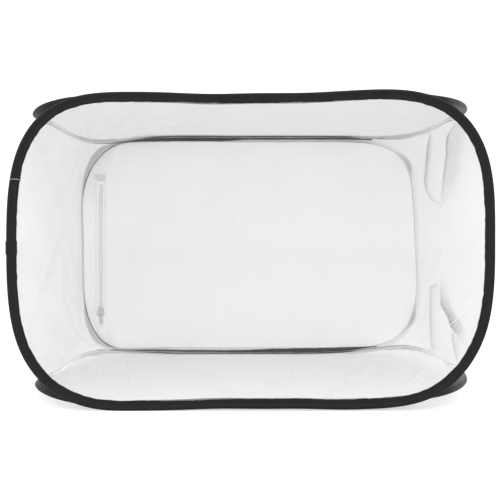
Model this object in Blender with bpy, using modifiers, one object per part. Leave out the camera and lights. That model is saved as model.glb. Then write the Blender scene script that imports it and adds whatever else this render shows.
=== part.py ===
"""Pop-up insect cage: four sheathed spring-wire hoops, mesh panels, a clear window, end walls and a zip.

Metres, +Z up. The cage stands on the origin's plane, its window faces -Y and its length runs along X.
"""

import math

import bmesh
import bpy
import numpy as np

# Overall size
CAGE_LONG = 0.600
CAGE_DEEP = 0.400
CAGE_TALL = 0.390
CLEARANCE = 0.0003

# Outline of a hoop: straight runs, and superellipse ends, which are squarer on the back hoop
CAP_REACH = 0.155
FRONT_SQUARENESS = 2.9
BACK_SQUARENESS = 4.0
LEVEL_SQUARENESS = 2.9
CAP_STEPS = 20

# Tape folded round the wire and the edge of a sheet
BAND_THICK = 0.006
BAND_WIDE = 0.0125
TAPE_WALL = 0.0007
POCKET_CORNER = 0.0013
POCKET_FLAT = 0.002
NECK_RUN = 0.0022
SHEET_THICK = 0.0006

# Spring wire and the ferrule that joins its ends
WIRE_RADIUS = 0.0012
WIRE_END_GAP = 0.0015
FERRULE_LONG = 0.020
FERRULE_WALL = 0.0005
FERRULE_SIDES = 10
WIRE_SIDES_LEVEL = 1

# Loose end walls
WALL_INSET = 0.007
WALL_ROWS = 20
WALL_COLUMNS = 26
WALL_GRADING = 1.7
TAUT_BOW = 0.004
FOLD_DEEP = 0.011
FOLD_HALF_WIDTH = 0.020
FOLD_ROUND_POWER = 0.8
RULING_HALVINGS = 40

# Zip in the back panel
ZIP_LONG = 0.236
ZIP_TAPE_WIDE = 0.008
ZIP_TAPE_THICK = 0.0006
ZIP_TAPE_PAST_TEETH = 0.0104
ZIP_SLIT_HALF = 0.0072
ZIP_SLIT_CORNER = 0.002
ZIP_SLIT_CORNER_STEPS = 3

# Teeth, as two rows that mesh
TOOTH_PITCH = 0.0048
TOOTH_THICK = 0.0016
TOOTH_ROOT_WIDE = 0.0019
TOOTH_TIP_WIDE = 0.0014
TOOTH_OVERLAP = 0.0018
TOOTH_LEAD_SHARE = 0.25
ROW_CORD_WIDE = 0.0012
ROW_HALF = 0.0030

# Slider
SLIDER_LONG = 0.0140
SLIDER_PLATE = 0.0009
SLIDER_FLANGE = 0.0010
SLIDER_MOUTH_SPREAD = 0.0014
SLIDER_CORNER = 0.0012
POST_HALF = 0.0012
POST_LONG = 0.0050
POST_WAIST_SHARE = 0.8

# Bail on the slider, and the pull tab that hangs in it
BAIL_WIDE = 0.0016
BAIL_THICK = 0.0010
BAIL_OPEN_TALL = 0.0040
BAIL_OPEN_HIGH = 0.0019
PULL_THICK = 0.0010
PULL_LONG = 0.026
PULL_TOP_WIDE = 0.0058
PULL_TIP_WIDE = 0.0080
PULL_EYE_REACH = 0.0043
PULL_EYE_HALF = 0.0015
PULL_TIP_STEPS = 8

# Stops at the ends of the teeth
STOP_LONG = 0.0026
STOP_WIDE = 0.0026
END_STOP_LONG = 0.0034

CUT_OVERRUN = 0.002

# Worked out from the sizes above
STRAIGHT_HALF = CAGE_LONG / 2 - CAP_REACH
LEG_INNER = SHEET_THICK / 2 + CLEARANCE
LEG_OUTER = LEG_INNER + TAPE_WALL
POCKET_HALF = BAND_THICK / 2 - TAPE_WALL
WIRE_INSET = TAPE_WALL + POCKET_HALF
POCKET_END = TAPE_WALL + POCKET_CORNER + POCKET_FLAT
SHEET_INSET = POCKET_END + NECK_RUN + CLEARANCE
UPRIGHT_HALF = CAGE_TALL / 2
LEVEL_HALF = CAGE_DEEP / 2 - BAND_THICK - CLEARANCE

# Shapes of the hoops, as (half height or depth, squareness)
FRONT_HOOP = (UPRIGHT_HALF, FRONT_SQUARENESS)
BACK_HOOP = (UPRIGHT_HALF, BACK_SQUARENESS)
LEVEL_HOOP = (LEVEL_HALF, LEVEL_SQUARENESS)

# The zip stands left of the middle, where the closing-in band just clears the corners of its tapes
ZIP_TAPE_IN = POST_HALF + CLEARANCE
ZIP_CORNER_SHARE = (ZIP_LONG / 2 + ZIP_TAPE_PAST_TEETH) / (UPRIGHT_HALF - BAND_WIDE)
ZIP_CORNER_BEND = (1 - ZIP_CORNER_SHARE**BACK_SQUARENESS) ** (1 / BACK_SQUARENESS)
ZIP_CORNER_REACH = (CAP_REACH - BAND_WIDE) * ZIP_CORNER_BEND
ZIP_FROM_MIDDLE = STRAIGHT_HALF + ZIP_CORNER_REACH - ZIP_TAPE_IN - ZIP_TAPE_WIDE - CLEARANCE

# Hinge lines, as (y, z): the front folds in, the back folds out, and the top stays level
FRONT_AXIS = (-CAGE_DEEP / 2 + BAND_THICK + CLEARANCE / 2, BAND_THICK + CLEARANCE / 2)
TOP_AXIS = (-CAGE_DEEP / 2, CAGE_TALL)
BACK_AXIS = (CAGE_DEEP / 2, 0.0)

# Layers of the zip, as distances out from the middle of the back hoop
ZIP_TAPE_MIDDLE = SHEET_THICK / 2 + CLEARANCE + ZIP_TAPE_THICK / 2
TOOTH_MIDDLE = ZIP_TAPE_MIDDLE + ZIP_TAPE_THICK / 2 + CLEARANCE + TOOTH_THICK / 2
SLIDER_IN = ZIP_TAPE_MIDDLE - ZIP_TAPE_THICK / 2 - CLEARANCE
SLIDER_OUT = TOOTH_MIDDLE + TOOTH_THICK / 2 + CLEARANCE
TAPE_SLOT_OUT = ZIP_TAPE_MIDDLE + ZIP_TAPE_THICK / 2 + CLEARANCE
PULL_MIDDLE = SLIDER_OUT + SLIDER_PLATE + BAIL_OPEN_HIGH / 2

BLACK_TAPE = ("black tape", (0.024, 0.024, 0.026, 1), 0.8, 0.0, 1.0)
SPRING_STEEL = ("spring steel", (0.45, 0.45, 0.47, 1), 0.35, 1.0, 1.0)
WHITE_MESH = ("white mesh", (0.83, 0.84, 0.82, 1), 0.85, 0.0, 1.0)
CLEAR_FILM = ("clear film", (0.92, 0.93, 0.93, 1), 0.12, 0.0, 0.25)
WHITE_NYLON = ("white nylon", (0.80, 0.80, 0.79, 1), 0.4, 0.0, 1.0)
NICKEL = ("nickel", (0.62, 0.61, 0.58, 1), 0.3, 1.0, 1.0)


def clear_scene():
    for thing in list(bpy.data.objects):
        bpy.data.objects.remove(thing, do_unlink=True)


def collection(name):
    made = bpy.data.collections.new(name)
    bpy.context.scene.collection.children.link(made)
    return made


def material(look):
    name, colour, roughness, metallic, alpha = look
    found = bpy.data.materials.get(name)
    if found:
        return found
    made = bpy.data.materials.new(name)
    made.use_nodes = True
    shader = made.node_tree.nodes["Principled BSDF"]
    shader.inputs["Base Color"].default_value = colour
    shader.inputs["Roughness"].default_value = roughness
    shader.inputs["Metallic"].default_value = metallic
    shader.inputs["Alpha"].default_value = alpha
    made.diffuse_color = colour[:3] + (alpha,)
    return made


def axis_empty(home, name, where, parent=None):
    """An empty on a joint's axis, at a place in the world, which its moving pieces are parented to."""
    made = bpy.data.objects.new(name, None)
    home.objects.link(made)
    made["world"] = where
    seat(made, parent, where)
    return made


def seat(thing, parent, where):
    """Puts a thing at a place in the world, under a parent that is only moved, never turned."""
    base = parent["world"] if parent else (0.0, 0.0, 0.0)
    thing.parent = parent
    thing.location = [a - b for a, b in zip(where, base)]


def hoop_outline(shape, inset, gap=0.0):
    """The hoop's line at an inset from its outer edge, anticlockwise from the middle of its near straight.

    The shape is the hoop's half height and its squareness n. Each end is |x/CAP_REACH|^n + |y/half|^n = 1,
    moved out along X by the straight run, and the inset is measured along the outline's normal. With a gap,
    the line is open there.
    """
    half, squareness = shape
    angles = np.linspace(-math.pi / 2, math.pi / 2, CAP_STEPS + 1)
    across, along = np.cos(angles), np.sin(angles)
    x = CAP_REACH * np.abs(across) ** (2 / squareness)
    y = half * np.sign(along) * np.abs(along) ** (2 / squareness)
    steep = squareness - 1
    normal_x = (x / CAP_REACH) ** steep / CAP_REACH
    normal_y = np.sign(y) * (np.abs(y) / half) ** steep / half
    length = np.hypot(normal_x, normal_y)
    cap_x = STRAIGHT_HALF + x - inset * normal_x / length
    cap_y = y - inset * normal_y / length
    right = list(zip(cap_x, cap_y))
    left = [(-a, -b) for a, b in right]
    start = [(gap / 2, inset - half)] if gap else []
    end = [(-gap / 2, inset - half)] if gap else []
    return start + right + left + end


def band_section():
    """The tape's section, as (distance in from the outer edge, distance off the hoop's plane), all round."""
    crown_end = POCKET_END + TAPE_WALL / 2
    neck_end = POCKET_END + NECK_RUN + TAPE_WALL / 2
    outer = [
        (0.0, LEG_OUTER),
        (BAND_THICK / 2 - LEG_OUTER, BAND_THICK / 2),
        (crown_end, BAND_THICK / 2),
        (neck_end, LEG_OUTER),
        (BAND_WIDE, LEG_OUTER),
    ]
    inner = [
        (BAND_WIDE, LEG_INNER),
        (POCKET_END + NECK_RUN, LEG_INNER),
        (POCKET_END, POCKET_HALF),
        (TAPE_WALL + POCKET_CORNER, POCKET_HALF),
        (TAPE_WALL, POCKET_HALF - POCKET_CORNER),
    ]
    half = outer + inner
    return half + [(a, -b) for a, b in reversed(half)]


def poly_spline(curve, points, closed=True):
    spline = curve.splines.new("POLY")
    spline.points.add(len(points) - 1)
    for slot, (x, y) in zip(spline.points, points):
        slot.co = (x, y, 0.0, 1.0)
    spline.use_cyclic_u = closed
    return spline


def plane_curve(name, loops, closed=True):
    curve = bpy.data.curves.new(name, "CURVE")
    curve.dimensions = "2D"
    curve.fill_mode = "NONE"
    for loop in loops:
        poly_spline(curve, loop, closed)
    return curve


def shown(home, name, data, look):
    made = bpy.data.objects.new(name, data)
    home.objects.link(made)
    data.materials.append(material(look))
    return made


def plate(home, name, loops, thick, look):
    """A flat outline, with any holes as further loops, extruded half its thickness each way."""
    curve = plane_curve(name, loops)
    curve.fill_mode = "BOTH"
    curve.extrude = thick / 2
    return shown(home, name, curve, look)


def guide(tools, name, curve):
    made = bpy.data.objects.new(name, curve)
    tools.objects.link(made)
    made.hide_render = True
    made.display_type = "WIRE"
    return made


def binding(home, section, name, shape):
    """The folded tape: its section swept along the line of the wire."""
    curve = plane_curve(name, [hoop_outline(shape, WIRE_INSET)])
    curve.bevel_mode = "OBJECT"
    curve.bevel_object = section
    return shown(home, name, curve, BLACK_TAPE)


def hoop_wire(home, name, shape):
    curve = plane_curve(name, [hoop_outline(shape, WIRE_INSET, WIRE_END_GAP)], closed=False)
    curve.dimensions = "3D"
    curve.fill_mode = "FULL"
    curve.bevel_depth = WIRE_RADIUS
    curve.bevel_resolution = WIRE_SIDES_LEVEL
    curve.use_fill_caps = True
    return shown(home, name, curve, SPRING_STEEL)


def ferrule(home, name):
    """A sleeve turned about the wire's line: an open rectangle of wall, screwed all the way round."""
    inner = WIRE_RADIUS + CLEARANCE
    outer = inner + FERRULE_WALL
    end = FERRULE_LONG / 2
    ring = [(outer, end), (outer, -end), (inner, -end), (inner, end)]
    mesh = bpy.data.meshes.new(name)
    edges = [(k, (k + 1) % len(ring)) for k in range(len(ring))]
    mesh.from_pydata([(r, 0.0, z) for r, z in ring], edges, [])
    made = shown(home, name, mesh, SPRING_STEEL)
    screw = made.modifiers.new("turn", "SCREW")
    screw.axis = "Z"
    screw.steps = FERRULE_SIDES
    screw.render_steps = FERRULE_SIDES
    screw.use_merge_vertices = True
    screw.merge_threshold = CLEARANCE / 10
    return made


def hoop(home, section, name, shape, middle, upright, parent, sheet, slit=()):
    """One hoop: tape, wire, ferrule and the sheet that the tape's edges hold, about one middle."""
    tilt = math.pi / 2 if upright else 0.0
    sheet_name, sheet_look = sheet
    pieces = [
        binding(home, section, f"{name}_binding", shape),
        hoop_wire(home, f"{name}_hoop_wire", shape),
        plate(home, sheet_name, [hoop_outline(shape, SHEET_INSET), *slit], SHEET_THICK, sheet_look),
    ]
    for piece in pieces:
        piece.rotation_euler = (tilt, 0.0, 0.0)
        seat(piece, parent, middle)
    sleeve = ferrule(home, f"{name}_wire_ferrule")
    sleeve.rotation_euler = (0.0, math.pi / 2, 0.0)
    drop = shape[0] - WIRE_INSET
    x, y, z = middle
    seat(sleeve, parent, (x, y, z - drop) if upright else (x, y - drop, z))


def cap_width(x, shape):
    """How far from the hoop's middle line the wall meets the hoop, at a distance x along the cage."""
    half, squareness = shape
    share = min(max((x - STRAIGHT_HALF) / (CAP_REACH - WALL_INSET), 0.0), 1.0)
    return (half - WALL_INSET) * (1 - share**squareness) ** (1 / squareness)


def wall_x(y, z):
    """The end wall's distance along X, over a place (y, z) measured from its middle.

    Near an edge of the cage the wall is ruled straight from one hoop's end to its neighbour's at the same
    x; inside the four rulings at the tips of the hoops it is flat. The ruling is found by halving.
    """
    edge_y, edge_z = wall_half()
    from_y, from_z = edge_y - abs(y), edge_z - abs(z)
    upright = BACK_HOOP if y > 0 else FRONT_HOOP

    def past(x):
        drop_z = max(edge_z - cap_width(x, upright), CLEARANCE)
        drop_y = max(edge_y - cap_width(x, LEVEL_HOOP), CLEARANCE)
        return from_y / drop_y + from_z / drop_z > 1

    low, high = STRAIGHT_HALF, STRAIGHT_HALF + CAP_REACH - WALL_INSET
    if past(high):
        return high
    for _ in range(RULING_HALVINGS):
        middle = (low + high) / 2
        low, high = (middle, high) if past(middle) else (low, middle)
    return low


def wall_half():
    """Half the end wall's depth and half its height, clear of the four hoops."""
    clear = CLEARANCE + SHEET_THICK / 2
    return CAGE_DEEP / 2 - BAND_THICK - clear, CAGE_TALL / 2 - BAND_THICK - clear


def graded(count):
    """Shares from -1 to 1, closer together towards both ends."""
    even = np.linspace(-1, 1, count + 1)
    return np.sign(even) * (1 - (1 - np.abs(even)) ** WALL_GRADING)


def taut_sag(y_share, z_share):
    """The taut wall bows in a little, most at its middle."""
    return TAUT_BOW * (1 - y_share**2) * (1 - z_share**2)


def loose_folds(y_share, z_share):
    """The loose wall has upright folds that hang from its top and stand on its foot, and fade halfway."""
    edge_y = wall_half()[0]
    # (place across the wall, how far down it starts, +1 for the top and -1 for the foot, depth), in shares
    fold_shares = [
        (-0.24, 0.28, 1, 1.0),
        (0.46, 0.22, 1, 0.8),
        (-0.32, 0.22, -1, 0.9),
        (0.34, 0.28, -1, 1.0),
    ]
    total = 0.0
    for place, start, side, depth in fold_shares:
        ridge = math.exp(-(((y_share - place) * edge_y / FOLD_HALF_WIDTH) ** 2))
        fade = min(max((side * z_share - start) / (1 - start), 0.0), 1.0)
        total += depth * ridge * math.sin(math.pi * fade) ** FOLD_ROUND_POWER
    return FOLD_DEEP * total + taut_sag(y_share, z_share) / 2


def end_wall(home, name, side, columns, sag):
    """A closed mesh wall: a graded grid on the ruled surface, given its thickness by Solidify."""
    edge_y, edge_z = wall_half()
    y_shares, z_shares = graded(columns), graded(WALL_ROWS)
    points = []
    for z_share in z_shares:
        for y_share in y_shares:
            y, z = y_share * edge_y, z_share * edge_z
            points.append((side * (wall_x(y, z) - sag(y_share, z_share)), y, z))
    wide = columns + 1
    faces = [
        (k, k + 1, k + 1 + wide, k + wide)
        for row in range(WALL_ROWS)
        for k in range(row * wide, row * wide + columns)
    ]
    mesh = bpy.data.meshes.new(name)
    mesh.from_pydata(points, [], faces if side > 0 else [face[::-1] for face in faces])
    made = shown(home, name, mesh, WHITE_MESH)
    solid = made.modifiers.new("thickness", "SOLIDIFY")
    solid.thickness = SHEET_THICK
    solid.offset = 0.0
    seat(made, None, (0.0, 0.0, CAGE_TALL / 2))


def zip_slit():
    """The slot in the back panel, with rounded corners, a little longer than the slider's way."""
    flat_wide = ZIP_SLIT_HALF - ZIP_SLIT_CORNER
    flat_long = ZIP_LONG / 2 + SLIDER_LONG / 2 + 2 * CLEARANCE - ZIP_SLIT_CORNER
    points = []
    for quarter, (across, along) in enumerate([(1, 1), (-1, 1), (-1, -1), (1, -1)]):
        turn = quarter * math.pi / 2
        for angle in np.linspace(turn, turn + math.pi / 2, ZIP_SLIT_CORNER_STEPS + 1):
            x = across * flat_wide + ZIP_SLIT_CORNER * math.cos(angle)
            points.append((x - ZIP_FROM_MIDDLE, along * flat_long + ZIP_SLIT_CORNER * math.sin(angle)))
    return points


def tooth_row(home, name, side, parent):
    """One row of teeth and the cord that they grow from: a flat comb of quads that Solidify makes thick.

    The two rows are half a pitch apart, so they mesh.
    """
    root = side * (ROW_HALF - ROW_CORD_WIDE)
    tip = -side * TOOTH_OVERLAP / 2
    outer = side * ROW_HALF
    first = -ZIP_LONG / 2 - SLIDER_LONG / 2 + POST_LONG + 2 * CLEARANCE
    count = int((ZIP_LONG / 2 - END_STOP_LONG - first) / TOOTH_PITCH)
    lead = TOOTH_PITCH * (TOOTH_LEAD_SHARE + (1 / 2 if side > 0 else 0))
    points, faces, rung = [(outer, first, 0.0), (root, first, 0.0)], [], (0, 1)
    for k in range(count):
        middle = first + lead + k * TOOTH_PITCH
        new = len(points)
        for edge in (-1, 1):
            root_edge = middle + edge * TOOTH_ROOT_WIDE / 2
            tip_edge = middle + edge * TOOTH_TIP_WIDE / 2
            points += [(outer, root_edge, 0.0), (root, root_edge, 0.0), (tip, tip_edge, 0.0)]
        faces.append((*rung, new + 1, new))
        faces.append((new, new + 1, new + 4, new + 3))
        faces.append((new + 1, new + 2, new + 5, new + 4))
        rung = (new + 3, new + 4)
    last = first + count * TOOTH_PITCH
    faces.append((*rung, len(points) + 1, len(points)))
    points += [(outer, last, 0.0), (root, last, 0.0)]
    mesh = bpy.data.meshes.new(name)
    mesh.from_pydata(points, [], faces)
    made = shown(home, name, mesh, WHITE_NYLON)
    solid = made.modifiers.new("thickness", "SOLIDIFY")
    solid.thickness = TOOTH_THICK
    solid.offset = 0.0
    back_seat(made, TOOTH_MIDDLE, parent)


def rectangle(x_low, x_high, y_low, y_high):
    return [(x_low, y_low), (x_high, y_low), (x_high, y_high), (x_low, y_high)]


def solid_mesh(thing):
    """The mesh of a curve object where it stands, with its caps welded, as an object at the origin."""
    home, name, look = thing.users_collection[0], thing.name, thing.data.materials[0]
    bpy.context.view_layer.update()
    ready = thing.evaluated_get(bpy.context.evaluated_depsgraph_get())
    mesh = bpy.data.meshes.new_from_object(ready)
    mesh.transform(thing.matrix_world)
    bpy.data.objects.remove(thing, do_unlink=True)
    weld(mesh)
    mesh.materials.clear()
    mesh.materials.append(look)
    made = bpy.data.objects.new(name, mesh)
    home.objects.link(made)
    return made


def weld(mesh):
    work = bmesh.new()
    work.from_mesh(mesh)
    bmesh.ops.remove_doubles(work, verts=work.verts, dist=CLEARANCE / 100)
    bmesh.ops.recalc_face_normals(work, faces=work.faces)
    work.to_mesh(mesh)
    work.free()


def slab(tools, name, points, low, high):
    """A cutter or a part of a solid: an outline extruded from one height to another."""
    thing = plate(tools, name, [points], high - low, NICKEL)
    thing.location = (0.0, 0.0, (low + high) / 2)
    made = solid_mesh(thing)
    made.hide_render = True
    made.display_type = "WIRE"
    return made


def boolean(thing, tool, operation):
    change = thing.modifiers.new(tool.name, "BOOLEAN")
    change.operation = operation
    change.solver = "EXACT"
    change.object = tool


def slider_outline():
    """The slider's shield, its mouth (the wide end, where the rows part) at -Y."""
    tail = ROW_HALF + CLEARANCE + SLIDER_FLANGE
    mouth = tail + SLIDER_MOUTH_SPREAD
    half = SLIDER_LONG / 2
    right = [
        (mouth - SLIDER_CORNER, -half),
        (mouth, SLIDER_CORNER - half),
        (mouth, POST_LONG - half),
        (tail, half - SLIDER_CORNER),
        (tail - SLIDER_CORNER, half),
    ]
    return right + [(-x, y) for x, y in reversed(right)]


def channel_outline():
    """The space between the plates, as wide as the teeth, and wider at the mouth."""
    tail = ROW_HALF + CLEARANCE
    mouth = tail + SLIDER_MOUTH_SPREAD
    half = SLIDER_LONG / 2
    right = [
        (mouth, -half - CUT_OVERRUN),
        (mouth, POST_LONG - half),
        (tail, half),
        (tail, half + CUT_OVERRUN),
    ]
    return right + [(-x, y) for x, y in reversed(right)]


def post_outline():
    """The wedge that parts the rows and joins the two plates."""
    foot = -SLIDER_LONG / 2
    return [
        (0.0, foot),
        (POST_HALF, foot + POST_HALF),
        (POST_HALF * POST_WAIST_SHARE, foot + POST_LONG - POST_HALF),
        (0.0, foot + POST_LONG),
        (-POST_HALF * POST_WAIST_SHARE, foot + POST_LONG - POST_HALF),
        (-POST_HALF, foot + POST_HALF),
    ]


def slider(home, tools, where, parent):
    """Two plates, flanges and a post: a shield with its channel and tape slots cut, and the bail added."""
    low, high = SLIDER_IN - SLIDER_PLATE, SLIDER_OUT + SLIDER_PLATE
    wide = ROW_HALF + SLIDER_MOUTH_SPREAD + SLIDER_FLANGE + CUT_OVERRUN
    long = SLIDER_LONG / 2 + CUT_OVERRUN
    body = slab(home, "zip_slider", slider_outline(), low, high)
    body.hide_render = False
    body.display_type = "TEXTURED"
    channel = slab(tools, "slider_channel", channel_outline(), SLIDER_IN, SLIDER_OUT)
    slots = slab(tools, "slider_tape_slots", rectangle(-wide, wide, -long, long), SLIDER_IN, TAPE_SLOT_OUT)
    post = slab(tools, "slider_post", post_outline(), low + SLIDER_PLATE / 2, high - SLIDER_PLATE / 2)
    bail = bail_arch(tools, high)
    boolean(body, channel, "DIFFERENCE")
    boolean(body, slots, "DIFFERENCE")
    boolean(body, post, "UNION")
    boolean(body, bail, "UNION")
    for tool in (channel, slots, post, bail):
        tool.parent = body
    body.rotation_euler = (math.pi / 2, 0.0, math.pi)
    seat(body, parent, where)
    return body


def bail_arch(tools, floor):
    """The arch that the pull hangs in: a staple's outline, extruded across the slider."""
    inner_half = BAIL_OPEN_TALL / 2
    outer_half = inner_half + BAIL_THICK
    top = BAIL_OPEN_HIGH + BAIL_THICK
    sunk = -SLIDER_PLATE / 2
    outline = [
        (-outer_half, sunk),
        (-inner_half, sunk),
        (-inner_half, BAIL_OPEN_HIGH),
        (inner_half, BAIL_OPEN_HIGH),
        (inner_half, sunk),
        (outer_half, sunk),
        (outer_half, top - BAIL_THICK / 2),
        (outer_half - BAIL_THICK / 2, top),
        (BAIL_THICK / 2 - outer_half, top),
        (-outer_half, top - BAIL_THICK / 2),
    ]
    arch = slab(tools, "slider_bail", outline, -BAIL_WIDE / 2, BAIL_WIDE / 2)
    arch.rotation_euler = (math.pi / 2, 0.0, math.pi / 2)
    arch.location = (0.0, 0.0, floor)
    return arch


def pull_loops():
    """The pull tab's outline and its eye. Its hinge line is the bar over the eye, at y = 0."""
    top, tip = PULL_TOP_WIDE / 2, PULL_TIP_WIDE / 2
    bar = PULL_THICK / 2
    angles = np.linspace(0, -math.pi, PULL_TIP_STEPS + 1)
    end = [(tip * math.cos(a), tip * (1 + math.sin(a)) - PULL_LONG) for a in angles]
    outline = [(-top, bar), (top, bar), *end]
    eye = rectangle(-PULL_EYE_HALF, PULL_EYE_HALF, -PULL_EYE_REACH, -bar)
    return [outline, eye]


def back_piece(home, name, points, thick, middle, look, parent):
    """A flat piece of the zip, at a distance out from the middle of the back hoop."""
    back_seat(plate(home, name, [points], thick, look), middle, parent)


def back_seat(made, middle, parent):
    """Stands a piece of the zip up at the back, at a distance out from the middle of the back hoop."""
    made.rotation_euler = (math.pi / 2, 0.0, 0.0)
    seat(made, parent, (-ZIP_FROM_MIDDLE, back_hoop_y() + middle, CAGE_TALL / 2))


def back_hoop_y():
    return CAGE_DEEP / 2 - BAND_THICK / 2


def slider_place():
    """The slider's middle when the zip is shut: at the foot of the teeth."""
    return (-ZIP_FROM_MIDDLE, back_hoop_y(), CAGE_TALL / 2 - ZIP_LONG / 2)


def zip_fastener(home, tools, back_axis):
    tape_half_long = ZIP_LONG / 2 + ZIP_TAPE_PAST_TEETH
    top = ZIP_LONG / 2
    foot = -ZIP_LONG / 2 - SLIDER_LONG / 2 - CLEARANCE
    for side, word in ((-1, "left"), (1, "right")):
        tape = sorted((side * ZIP_TAPE_IN, side * (ZIP_TAPE_IN + ZIP_TAPE_WIDE)))
        outline = rectangle(*tape, -tape_half_long, tape_half_long)
        back_piece(home, f"zip_tape_{word}", outline, ZIP_TAPE_THICK, ZIP_TAPE_MIDDLE, WHITE_MESH, back_axis)
        tooth_row(home, f"zip_teeth_{word}", side, back_axis)
        stop = sorted((side * ZIP_TAPE_IN, side * (ZIP_TAPE_IN + STOP_WIDE)))
        outline = rectangle(*stop, foot - STOP_LONG, foot)
        back_piece(home, f"zip_stop_{word}", outline, TOOTH_THICK, TOOTH_MIDDLE, NICKEL, back_axis)
    outline = rectangle(-ROW_HALF, ROW_HALF, top - END_STOP_LONG + 2 * CLEARANCE, top)
    back_piece(home, "zip_end_stop", outline, TOOTH_THICK, TOOTH_MIDDLE, NICKEL, back_axis)

    slide_axis = axis_empty(home, "zip_slide_axis", slider_place(), back_axis)
    slider(home, tools, slider_place(), slide_axis)
    x, y, z = slider_place()
    pull_place = (x, y + PULL_MIDDLE, z)
    pull_axis = axis_empty(home, "zip_pull_axis", pull_place, slide_axis)
    pull = plate(home, "zip_pull", pull_loops(), PULL_THICK, NICKEL)
    pull.rotation_euler = (math.pi / 2, 0.0, 0.0)
    seat(pull, pull_axis, pull_place)


def main():
    clear_scene()
    home = collection("insect_cage")
    tools = collection("cutters_and_guides")
    section_points = [(inward - WIRE_INSET, off) for inward, off in band_section()]
    section = guide(tools, "band_section", plane_curve("band_section", [section_points]))

    front_axis = axis_empty(home, "front_fold_axis", (0.0, *FRONT_AXIS))
    top_axis = axis_empty(home, "top_fold_axis", (0.0, *TOP_AXIS), front_axis)
    back_axis = axis_empty(home, "back_fold_axis", (0.0, *BACK_AXIS))

    mid_tall = CAGE_TALL / 2
    low, high = BAND_THICK / 2, CAGE_TALL - BAND_THICK / 2
    hoop(home, section, "bottom", LEVEL_HOOP, (0.0, 0.0, low), False, None, ("bottom_panel", WHITE_MESH))
    hoop(home, section, "front", FRONT_HOOP, (0.0, -back_hoop_y(), mid_tall), True, front_axis,
         ("front_window", CLEAR_FILM))
    hoop(home, section, "top", LEVEL_HOOP, (0.0, 0.0, high), False, top_axis, ("top_panel", WHITE_MESH))
    hoop(home, section, "back", BACK_HOOP, (0.0, back_hoop_y(), mid_tall), True, back_axis,
         ("back_panel", WHITE_MESH), [zip_slit()])

    end_wall(home, "left_end_wall", -1, WALL_ROWS, taut_sag)
    end_wall(home, "right_end_wall", 1, WALL_COLUMNS, loose_folds)
    zip_fastener(home, tools, back_axis)


main()
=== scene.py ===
"""Looks of the pop-up insect cage: taped wire hoops, net walls, a creased clear window and a zip at the back."""

import math

import bmesh
import bpy
import numpy as np
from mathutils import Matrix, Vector


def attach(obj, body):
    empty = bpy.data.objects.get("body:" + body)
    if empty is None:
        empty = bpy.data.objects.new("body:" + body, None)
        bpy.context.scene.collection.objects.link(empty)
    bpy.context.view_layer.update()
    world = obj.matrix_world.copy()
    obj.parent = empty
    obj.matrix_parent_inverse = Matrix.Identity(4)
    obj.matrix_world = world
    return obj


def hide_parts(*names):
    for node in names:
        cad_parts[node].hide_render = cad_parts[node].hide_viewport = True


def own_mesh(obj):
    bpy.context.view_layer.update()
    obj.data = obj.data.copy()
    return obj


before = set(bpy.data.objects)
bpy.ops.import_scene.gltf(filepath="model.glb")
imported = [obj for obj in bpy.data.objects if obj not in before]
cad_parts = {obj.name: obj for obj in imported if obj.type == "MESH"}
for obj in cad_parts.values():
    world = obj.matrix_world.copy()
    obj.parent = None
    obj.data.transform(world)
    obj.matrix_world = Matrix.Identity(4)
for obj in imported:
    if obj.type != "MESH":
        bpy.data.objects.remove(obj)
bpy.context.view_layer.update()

# Camera: a 50 mm lens in front of the window, in a 500 by 500 picture
CAMERA_AT = (-0.003, -1.05, 0.2187)
LENS = 50.0
SHIFT = (0.0036, -0.0358)

# Stage: the world's light on the object and what the camera sees of it, and the floor's height, colour and glow
WORLD_LIGHT = 1.08
WORLD_SEEN = 1.31
FLOOR_Z = -0.0006
FLOOR_GREY = (0.60, 0.60, 0.60, 1)
FLOOR_GLOW = 0.59
WHITE = (1, 1, 1, 1)

# The cage's half length and half height
HALF_LONG = 0.3
HALF_TALL = 0.195

# Hoops. Squareness is for the (left low, right low, right high, left high) quarters of the outline, and bends are how
# far the wire lies inside its even outline, in millimetres at even steps from the middle of the low run anticlockwise.
STRAIGHT_HALF = 0.145
CAP_REACH = 0.155
HOOPS = {
    "front": {"half": HALF_TALL, "middle": (0, -0.197, HALF_TALL), "up": (0, 0, 1), "out": (0, -1, 0),
              "square": (2.7, 2.5, 3.25, 3.0), "lap": 0.749, "body": "front_frame",
              "bends": (2.0, 2.1, 1.5, 1.3, 2.5, 1.2, 0.2, -0.7, -0.8, 0.0, 0.0, -0.4, -1.0, -0.7, -0.8, -2.8, -4.0,
                        -2.8, -0.4, 0.7, 1.0, 1.8, 0.6, -0.7, -0.8, -1.1, -1.3, -1.2, -0.6, 0.0, 0.2, 0.3, -0.3,
                        -0.8, -0.3, -0.4, -0.7, -0.3, 0.6, 2.1)},
    "back": {"half": HALF_TALL, "middle": (0, 0.197, HALF_TALL), "up": (0, 0, 1), "out": (0, 1, 0),
             "square": (4.3, 4.3, 3.7, 3.6), "lap": 0.300, "body": "back_frame",
             "bends": (0, 0, 0, 0, 0, 2.0, 2.5, -4.0, -8.5, -7.5, -5.5, -4.0, -3.0, -5.0, -3.0, -1.0, -2, -2, -2, -2,
                       -2, -2, -2.5, -2.5, -2.5, -1.8, -1.5, -4.5, -7.0, -5.2, -4.0, -3.6, -3.6, -1.5, -0.8, -1.5, 0,
                       0, 0, 0)},
    "top": {"half": 0.1937, "middle": (0, 0, 0.387), "up": (0, 1, 0), "out": (0, 0, 1),
            "square": (3.6, 3.45, 2.9, 2.9), "lap": 0.640, "body": "top_frame"},
    "bottom": {"half": 0.1937, "middle": (0, 0, 0.003), "up": (0, 1, 0), "out": (0, 0, -1),
               "square": (3.2, 3.4, 2.9, 2.9), "lap": 0.400, "body": "bottom_frame"},
}

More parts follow.
